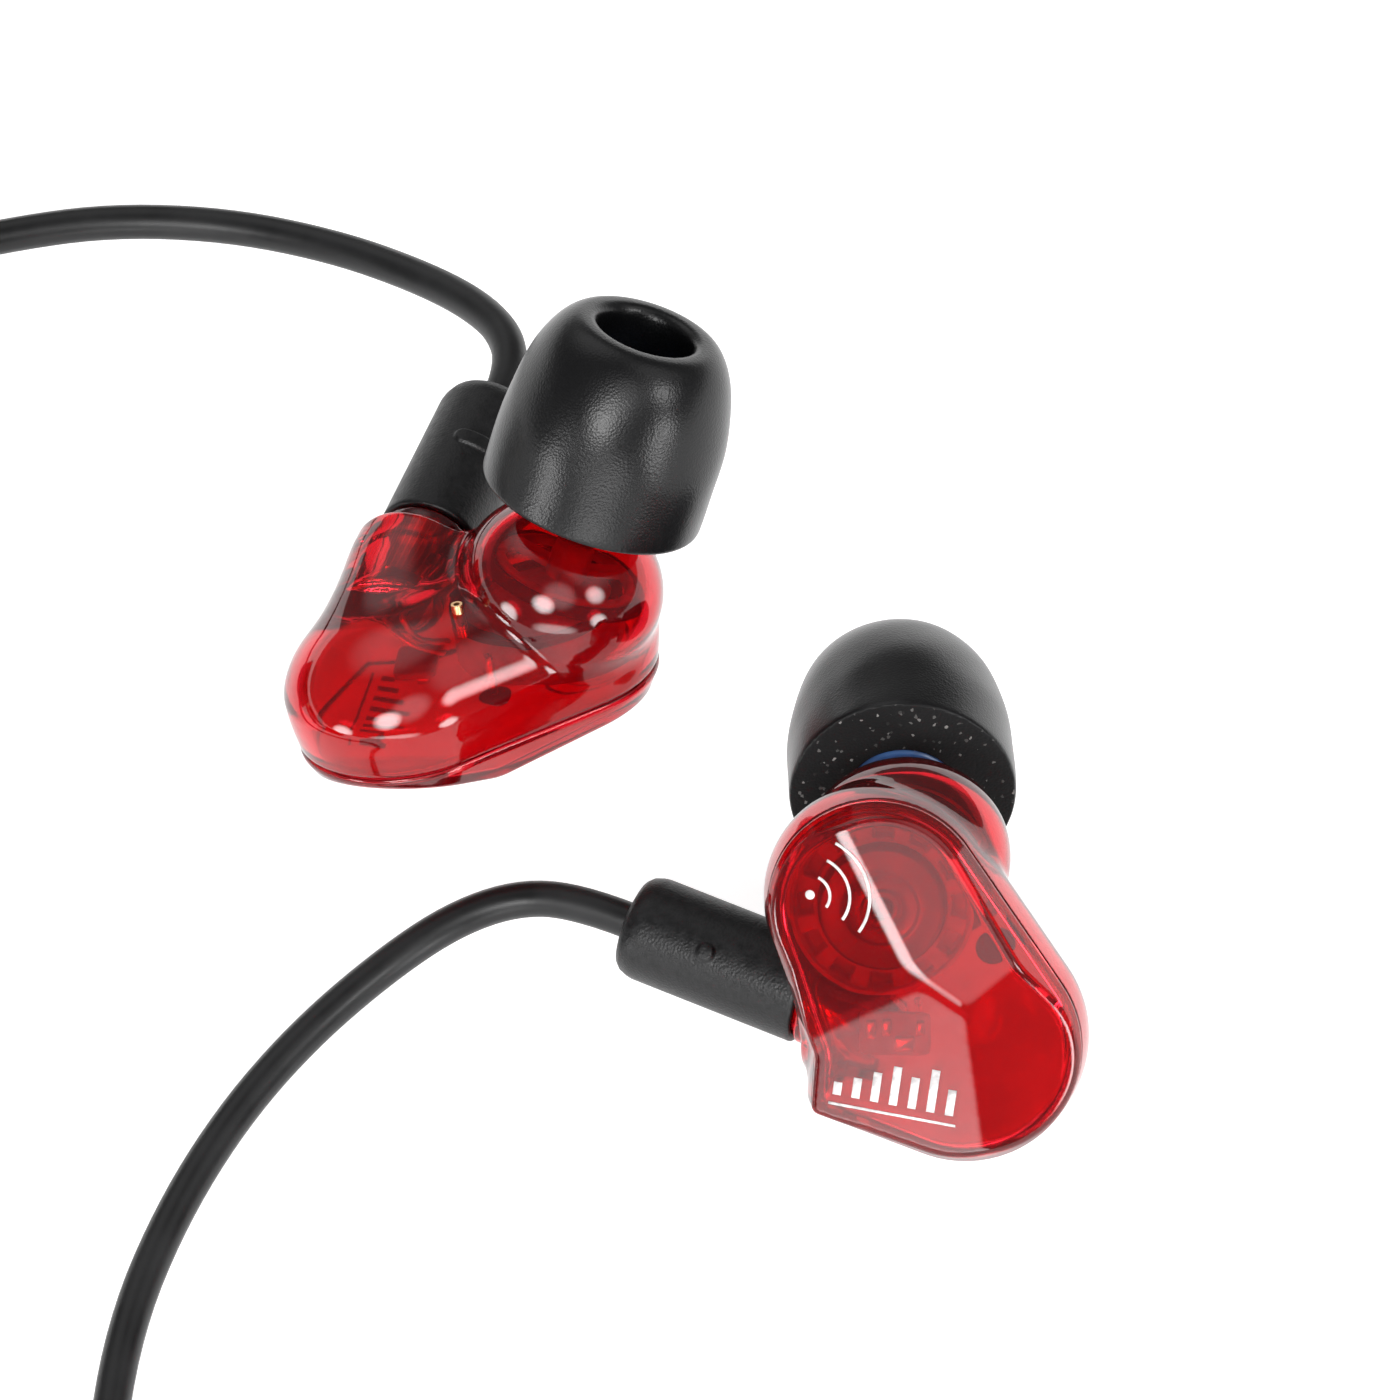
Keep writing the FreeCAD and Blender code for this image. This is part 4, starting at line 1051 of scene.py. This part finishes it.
def build_cords():
    """Two branches from the barrels to the splitter and the main cable from there to the plug, each
    with its put-away length wound in a neat coil."""
    look = bpy.context.scene.monitor_look
    branch_d, main_d = round(look.branch_diameter, 6), round(look.main_diameter, 6)
    coil = (BRANCH_COIL_AT, BRANCH_COIL_IN, branch_d)
    left = turns(*coil, [(1, 0), (0, 0), (0, 1), (1, 1)], 112, 160, 1)
    right = turns(*coil, [(1, 2), (0, 2), (1, 3)], 20, 160, 1)
    cells = [(c, level) for level in range(4) for c in ((2, 1, 0), (0, 1, 2))[level % 2]][:11]
    main = turns(MAIN_COIL_AT, MAIN_COIL_IN, main_d, cells, -25, -205, -1)
    routes = (
        ("left_branch", LEFT_OUT[:-1] + left + LEFT_BACK[1:], branch_d, "fitting",
         ("splitter", "coil_straps")),
        ("right_branch", RIGHT_OUT[:-1] + right + RIGHT_BACK[1:], branch_d, "fitting",
         ("splitter", "slider")),
        ("main", MAIN_OUT[:-1] + main + MAIN_BACK[1:], main_d, "plug",
         ("relief", "housing", "sleeve", "ring", "point", "insulators")),
    )
    for name, points, diameter, far_end, carried in routes:
        piece = spline_cord(f"{name}_cord", points, diameter)
        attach(piece, "cable")
        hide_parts(f"{name}_cable", f"{name}_coil")
        spline_length(points)


def rounded_bar(node, ends=0.0006):
    """A softly cornered bar that fills a CAD node's box, along Y: superellipse sections that draw in
    round both ends."""
    low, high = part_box(node)
    width, length, height = (high - low)
    t = np.linspace(0, 1, 25)
    near = np.minimum(t, 1 - t) * length
    draw = ends * (1 - np.sqrt(1 - (1 - np.clip(near / ends, 0, 1)) ** 2))
    shape = superellipse(1, 1, 4.5)
    middle = (low + high) / 2
    sections = [np.c_[middle[0] + shape[:, 0] * (width - 2 * d), np.full(64, low[1] + s * length),
                      middle[2] + shape[:, 1] * (height - 2 * d)] for s, d in zip(t, draw)]
    return loft(np.stack(sections))


def tie_band(middle, angle, low, high, inner, outer, cover=math.radians(16), thick=0.00035):
    """A strap round a coil's section: a flat band carried round a rounded rectangle."""
    lane = superellipse(outer - inner + 2 * thick + 0.0001, high - low + 2 * thick + 0.0001, 6, 96)
    lane[:, 0] += (inner + outer) / 2
    lane[:, 1] += (low + high) / 2
    centre = lane.mean(0)
    out = lane - centre
    out /= np.linalg.norm(out, axis=1, keepdims=True)
    turn = np.linspace(-cover / 2, cover / 2, 9) + angle
    outside = [(turn[0], 0.3)] + [(t, 0.0) for t in turn] + [(turn[-1], 0.3)]
    inside = [(turn[-1], 0.7)] + [(t, 1.0) for t in turn[::-1]] + [(turn[0], 0.7)]
    rings = []
    for a, depth in outside + inside:
        line = lane - out * thick * depth
        rings.append(np.c_[middle[0] + line[:, 0] * math.cos(a), middle[1] + line[:, 0] * math.sin(a),
                           line[:, 1]])
    rings.append(rings[0])
    return np.vstack(rings), grid_faces(len(rings), 96, wrap=True)


def build_clips():
    """Splitter, chin slider and coil ties."""
    for name, node, body in (("splitter", "y_splitter", "cable"), ("slider", "chin_slider", "slider")):
        points, faces = rounded_bar(node)
        piece = new_piece(name, points, faces, finish("Clip plastic"))
        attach(piece, body)
        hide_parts(node)
    look = bpy.context.scene.monitor_look
    step = round(look.branch_diameter, 6) + TURN_GAP
    main_step = round(look.main_diameter, 6) + TURN_GAP
    bands = [
        tie_band(BRANCH_COIL_AT, math.radians(270), COIL_LIFT, COIL_LIFT + 4 * step,
                 BRANCH_COIL_IN - step / 2, BRANCH_COIL_IN + 1.5 * step),
        tie_band(MAIN_COIL_AT, math.radians(75), COIL_LIFT, COIL_LIFT + 4 * main_step,
                 MAIN_COIL_IN - main_step / 2, MAIN_COIL_IN + 2.5 * main_step),
    ]
    points, faces = joined(bands)
    piece = new_piece("coil_straps", points, faces, finish("Strap"))
    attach(piece, "cable")
    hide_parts("coil_ties")


def build_plug():
    """The 3.5 mm plug: ribbed relief, grooved housing, and gold contacts between dark rings."""
    way = (0, 1, 0)

    def ribs(s, a, r):
        """Square ribs along the strain relief."""
        ribbed = (s > 0.001) & (s < 0.007) & (r > 0.0012)
        return 0.00012 * np.sign(np.sin(s / 0.0008 * 2 * math.pi)) * ribbed

    def grooves(s, a, r):
        """V grooves round the housing's grip."""
        place = np.abs((s - 0.0115) / 0.0009 % 1 - 0.5)
        inside = (s > 0.0115) & (s < 0.0178)
        return -0.00012 * np.clip(1 - place / 0.22, 0, 1) * inside * (r > 0.0025)

    fine = [(s, 0.0015 + 0.0006 * s / 0.008) for s in np.linspace(0, 0.008, 121)]
    grip = [(s, 0.0031) for s in np.linspace(0.009, 0.0232, 160)]
    parts = {
        "relief": ("Relief rubber", "relief_rubber", [(0, 0), *fine, (0.008, 0)], ribs, "plug_relief"),
        "housing": ("Clip plastic", "clip_plastic",
                    [(0.008, 0), (0.008, 0.0026), (0.0084, 0.0031), *grip, (0.0237, 0.00295),
                     (0.024, 0.0026), (0.024, 0)], grooves, "plug_housing"),
    }
    for name, (look, slot, profile, ripple, node) in parts.items():
        points, faces = lathe(profile, PLUG_AT, way, 96, ripple)
        piece = new_piece(name, points, faces, finish(look))
        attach(piece, "cable")
        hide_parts(node)
    r = CONTACT_R
    contacts = {
        "sleeve": ("Gold plate", "gold_plate",
                   [(0.024, 0.001), (0.024, r), (0.0302, r), (0.0302, 0.001)], "plug_sleeve"),
        "ring": ("Gold plate", "gold_plate",
                 [(0.0309, 0.001), (0.0309, r), (0.0328, r), (0.0328, 0.001)], "plug_ring"),
        "insulators": ("Dark moulding", "insulator_plastic",
                       [(0.024, 0.0009), (0.0303, 0.0009), (0.0303, 0.00172), (0.0308, 0.00172),
                        (0.0308, 0.0009), (0.0329, 0.0009), (0.0329, 0.00172), (0.0334, 0.00172),
                        (0.0334, 0.0009)], "plug_insulators"),
        "point": ("Gold plate", "gold_plate",
                  [(0.0335, 0.0009), (0.0335, r), (0.0344, r), (0.035, 0.0012), (0.0352, 0.00118),
                   (0.0357, 0.00166), (0.0361, 0.00152), (0.0372, 0.0004), (0.0373, 0)], "plug_point"),
    }
    for name, (look, slot, profile, node) in contacts.items():
        closed = [(profile[0][0], 0)] + profile + ([(profile[-1][0], 0)] if profile[-1][1] else [])
        dense = [closed[0]]
        for a, b in zip(closed, closed[1:]):
            dense += [tuple(np.array(a) + (np.array(b) - np.array(a)) * t) for t in (0.04, 0.96, 1.0)]
        points, faces = lathe(soften(dense, 1), PLUG_AT, way, 96)
        piece = new_piece(name, points, faces, finish(look))
        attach(piece, "cable")
        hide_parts(node)


# ============================================== stage ================================================
# Soft panels of the studio: direction, how much narrower than wide it is, the angles in degrees where
# it starts to fall off and ends, and how bright it is
ROOM_LEVEL = 0.2
FLOOR_GLOW = 0.85
FLOOR_REACH = 1.5
FLOOR_DROP = 0.00002     # the floor lies this far under the lowest piece
PANELS = (
    ((-0.30, -0.73, 0.60), 1.0, 3, 15, 17.0),
    ((0.03, -0.60, 0.80), 1.0, 7, 22, 2.0),
    ((-0.83, -0.55, 0.06), 1.0, 4, 12, 14.0),
    ((0.66, -0.74, 0.16), 1.0, 4, 11, 14.0),
    ((0.66, -0.40, 0.62), 1.0, 2, 13, 12.0),
    ((-0.05, -0.995, 0.05), 0.4, 4, 11, 7.0),
    ((0.55, 0.10, 0.83), 1.0, 10, 30, 0.9),
    ((-0.30, 0.62, 0.72), 1.0, 10, 32, 0.9),
)


def studio_light():
    """A white room whose soft panels lie in chosen directions: each adds its brightness where the
    direction's cosine with the panel's passes between two bounds, along a smooth step."""
    world = bpy.data.worlds.new("Studio")
    world.use_nodes = True
    tree = world.node_tree
    way = add(tree, "ShaderNodeTexCoord").outputs["Generated"]
    total = None
    for direction, narrow, inner, outer, strength in PANELS:
        wide = add(tree, "ShaderNodeVectorMath", {0: way}, operation="MULTIPLY")
        wide.inputs[1].default_value = (narrow, 1, 1)
        wide = add(tree, "ShaderNodeVectorMath", {0: wide.outputs[0]}, operation="NORMALIZE")
        near = add(tree, "ShaderNodeVectorMath", {0: wide.outputs[0]}, operation="DOT_PRODUCT")
        near.inputs[1].default_value = tuple(unit(direction))
        fade = add(tree, "ShaderNodeMapRange", {"Value": near.outputs["Value"]},
                   interpolation_type="SMOOTHSTEP")
        for label, value in (("From Min", math.cos(math.radians(outer))),
                             ("From Max", math.cos(math.radians(inner))),
                             ("To Min", 0.0), ("To Max", strength)):
            fade.inputs[label].default_value = value
        layer = add(tree, "ShaderNodeMath", {0: fade.outputs["Result"]}, operation="ADD")
        if total is None:
            layer.inputs[1].default_value = ROOM_LEVEL
        else:
            tree.links.new(total, layer.inputs[1])
        total = layer.outputs[0]
    tree.links.new(total, tree.nodes["Background"].inputs["Strength"])
    tree.nodes["Background"].inputs["Color"].default_value = (1, 1, 1, 1)
    bpy.context.scene.world = world
    bpy.context.scene.view_settings.view_transform = "Standard"


def build_stage():
    """Pale floor, a white room with soft panels, and the camera."""
    reach, drop = FLOOR_REACH, -FLOOR_DROP
    points = np.array([(-reach, -reach, drop), (reach, -reach, drop), (reach, reach, drop),
                       (-reach, reach, drop)])
    floor_look, _, shader = node_tree("Pale floor")
    shader.inputs["Base Color"].default_value = (0.6, 0.6, 0.6, 1)
    shader.inputs["Roughness"].default_value = 0.9
    shader.inputs["Emission Color"].default_value = (1, 1, 1, 1)
    shader.inputs["Emission Strength"].default_value = FLOOR_GLOW
    floor = new_piece("floor", points, np.array([(0, 1, 2, 3)]), floor_look, heal=False)
    studio_light()
    camera_data = bpy.data.cameras.new("Camera")
    camera_data.lens = LENS
    camera_data.sensor_width = SENSOR
    camera_data.clip_start = 0.01
    camera = bpy.data.objects.new("Camera", camera_data)
    away = Vector(CAMERA_AWAY)
    camera.location = Vector(CAMERA_TARGET) + away * CAMERA_DISTANCE
    camera.rotation_euler = (-away).to_track_quat("-Z", "Y").to_euler()
    bpy.context.scene.collection.objects.link(camera)
    bpy.context.scene.camera = camera


# ============================================ add-on parts ============================================
class MonitorLook(bpy.types.PropertyGroup):
    """Sizes and colours that a user would change."""
    tip_radius: FloatProperty(
        name="Tip radius", description="Radius of the foam tips at their widest", subtype="DISTANCE",
        unit="LENGTH", default=TIP_R * MM, min=0.0045, max=0.0065, precision=5)
    branch_diameter: FloatProperty(
        name="Branch diameter", description="Diameter of the two branches of the cable", subtype="DISTANCE",
        unit="LENGTH", default=BRANCH_D, min=0.001, max=0.0022, precision=5)
    main_diameter: FloatProperty(
        name="Main diameter", description="Diameter of the cable from the splitter to the plug",
        subtype="DISTANCE", unit="LENGTH", default=MAIN_D, min=0.001, max=0.0024, precision=5)
    resin_colour: FloatVectorProperty(
        name="Resin", description="Tint of the clear shells", subtype="COLOR", size=3,
        default=(0.72, 0.010, 0.022), min=0, max=1)
    rubber_colour: FloatVectorProperty(
        name="Cable jacket", description="Colour of the cable's jacket", subtype="COLOR", size=3,
        default=(0.006, 0.006, 0.0065), min=0, max=1)
    print_colour: FloatVectorProperty(
        name="Print", description="Colour of the print on the faceplates", subtype="COLOR", size=3,
        default=(0.66, 0.63, 0.63), min=0, max=1)


class MONITOR_OT_shells(bpy.types.Operator):
    """Build the clear shells and faceplates of both monitors, with their print"""
    bl_idname = "monitor.shells"
    bl_label = "Shells and faceplates"

    def execute(self, context):
        build_shells()
        return {"FINISHED"}


class MONITOR_OT_drivers(bpy.types.Operator):
    """Build the drivers and the small inner pieces, and give the inner CAD pieces their finishes"""
    bl_idname = "monitor.drivers"
    bl_label = "Drivers and sockets"

    def execute(self, context):
        build_drivers()
        return {"FINISHED"}


class MONITOR_OT_tips(bpy.types.Operator):
    """Build the foam tips and their core tubes"""
    bl_idname = "monitor.tips"
    bl_label = "Foam tips"

    def execute(self, context):
        build_tips()
        return {"FINISHED"}


class MONITOR_OT_barrels(bpy.types.Operator):
    """Build the connector barrels with their touch marks"""
    bl_idname = "monitor.barrels"
    bl_label = "Connector barrels"

    def execute(self, context):
        build_barrels()
        return {"FINISHED"}


class MONITOR_OT_clips(bpy.types.Operator):
    """Build the splitter, the chin slider and the coils' straps"""
    bl_idname = "monitor.clips"
    bl_label = "Splitter, slider and ties"

    def execute(self, context):
        build_clips()
        return {"FINISHED"}


class MONITOR_OT_plug(bpy.types.Operator):
    """Build the plug's relief, housing and contacts"""
    bl_idname = "monitor.plug"
    bl_label = "Headphone plug"

    def execute(self, context):
        build_plug()
        return {"FINISHED"}


class MONITOR_OT_cords(bpy.types.Operator):
    """Lay the two branches and the main cable"""
    bl_idname = "monitor.cords"
    bl_label = "Cords"

    def execute(self, context):
        build_cords()
        return {"FINISHED"}


class MONITOR_OT_stage(bpy.types.Operator):
    """Set floor, light and camera"""
    bl_idname = "monitor.stage"
    bl_label = "Stage"

    def execute(self, context):
        build_stage()
        return {"FINISHED"}


STEPS = (
    MONITOR_OT_shells, MONITOR_OT_drivers, MONITOR_OT_tips, MONITOR_OT_barrels, MONITOR_OT_clips,
    MONITOR_OT_plug, MONITOR_OT_cords, MONITOR_OT_stage,
)


class MONITOR_PT_panel(bpy.types.Panel):
    """The steps, in order."""
    bl_label = "In-Ear Monitors"
    bl_space_type = "VIEW_3D"
    bl_region_type = "UI"
    bl_category = "Monitors"

    def draw(self, context):
        look = context.scene.monitor_look
        for setting in ("tip_radius", "branch_diameter", "main_diameter", "resin_colour", "rubber_colour",
                        "print_colour"):
            self.layout.prop(look, setting)
        for step in STEPS:
            self.layout.operator(step.bl_idname)


CLASSES = (MonitorLook, *STEPS, MONITOR_PT_panel)


def register():
    """Adds the classes and the settings to Blender."""
    for cls in CLASSES:
        bpy.utils.register_class(cls)
    bpy.types.Scene.monitor_look = PointerProperty(type=MonitorLook)


def unregister():
    """Takes them out again."""
    del bpy.types.Scene.monitor_look
    for cls in reversed(CLASSES):
        bpy.utils.unregister_class(cls)


def main():
    """Registers the add-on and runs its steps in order."""
    register()
    bpy.ops.monitor.shells()
    bpy.ops.monitor.drivers()
    bpy.ops.monitor.tips()
    bpy.ops.monitor.barrels()
    bpy.ops.monitor.clips()
    bpy.ops.monitor.plug()
    bpy.ops.monitor.cords()
    bpy.ops.monitor.stage()
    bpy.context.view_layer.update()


if __name__ == "__main__":
    main()
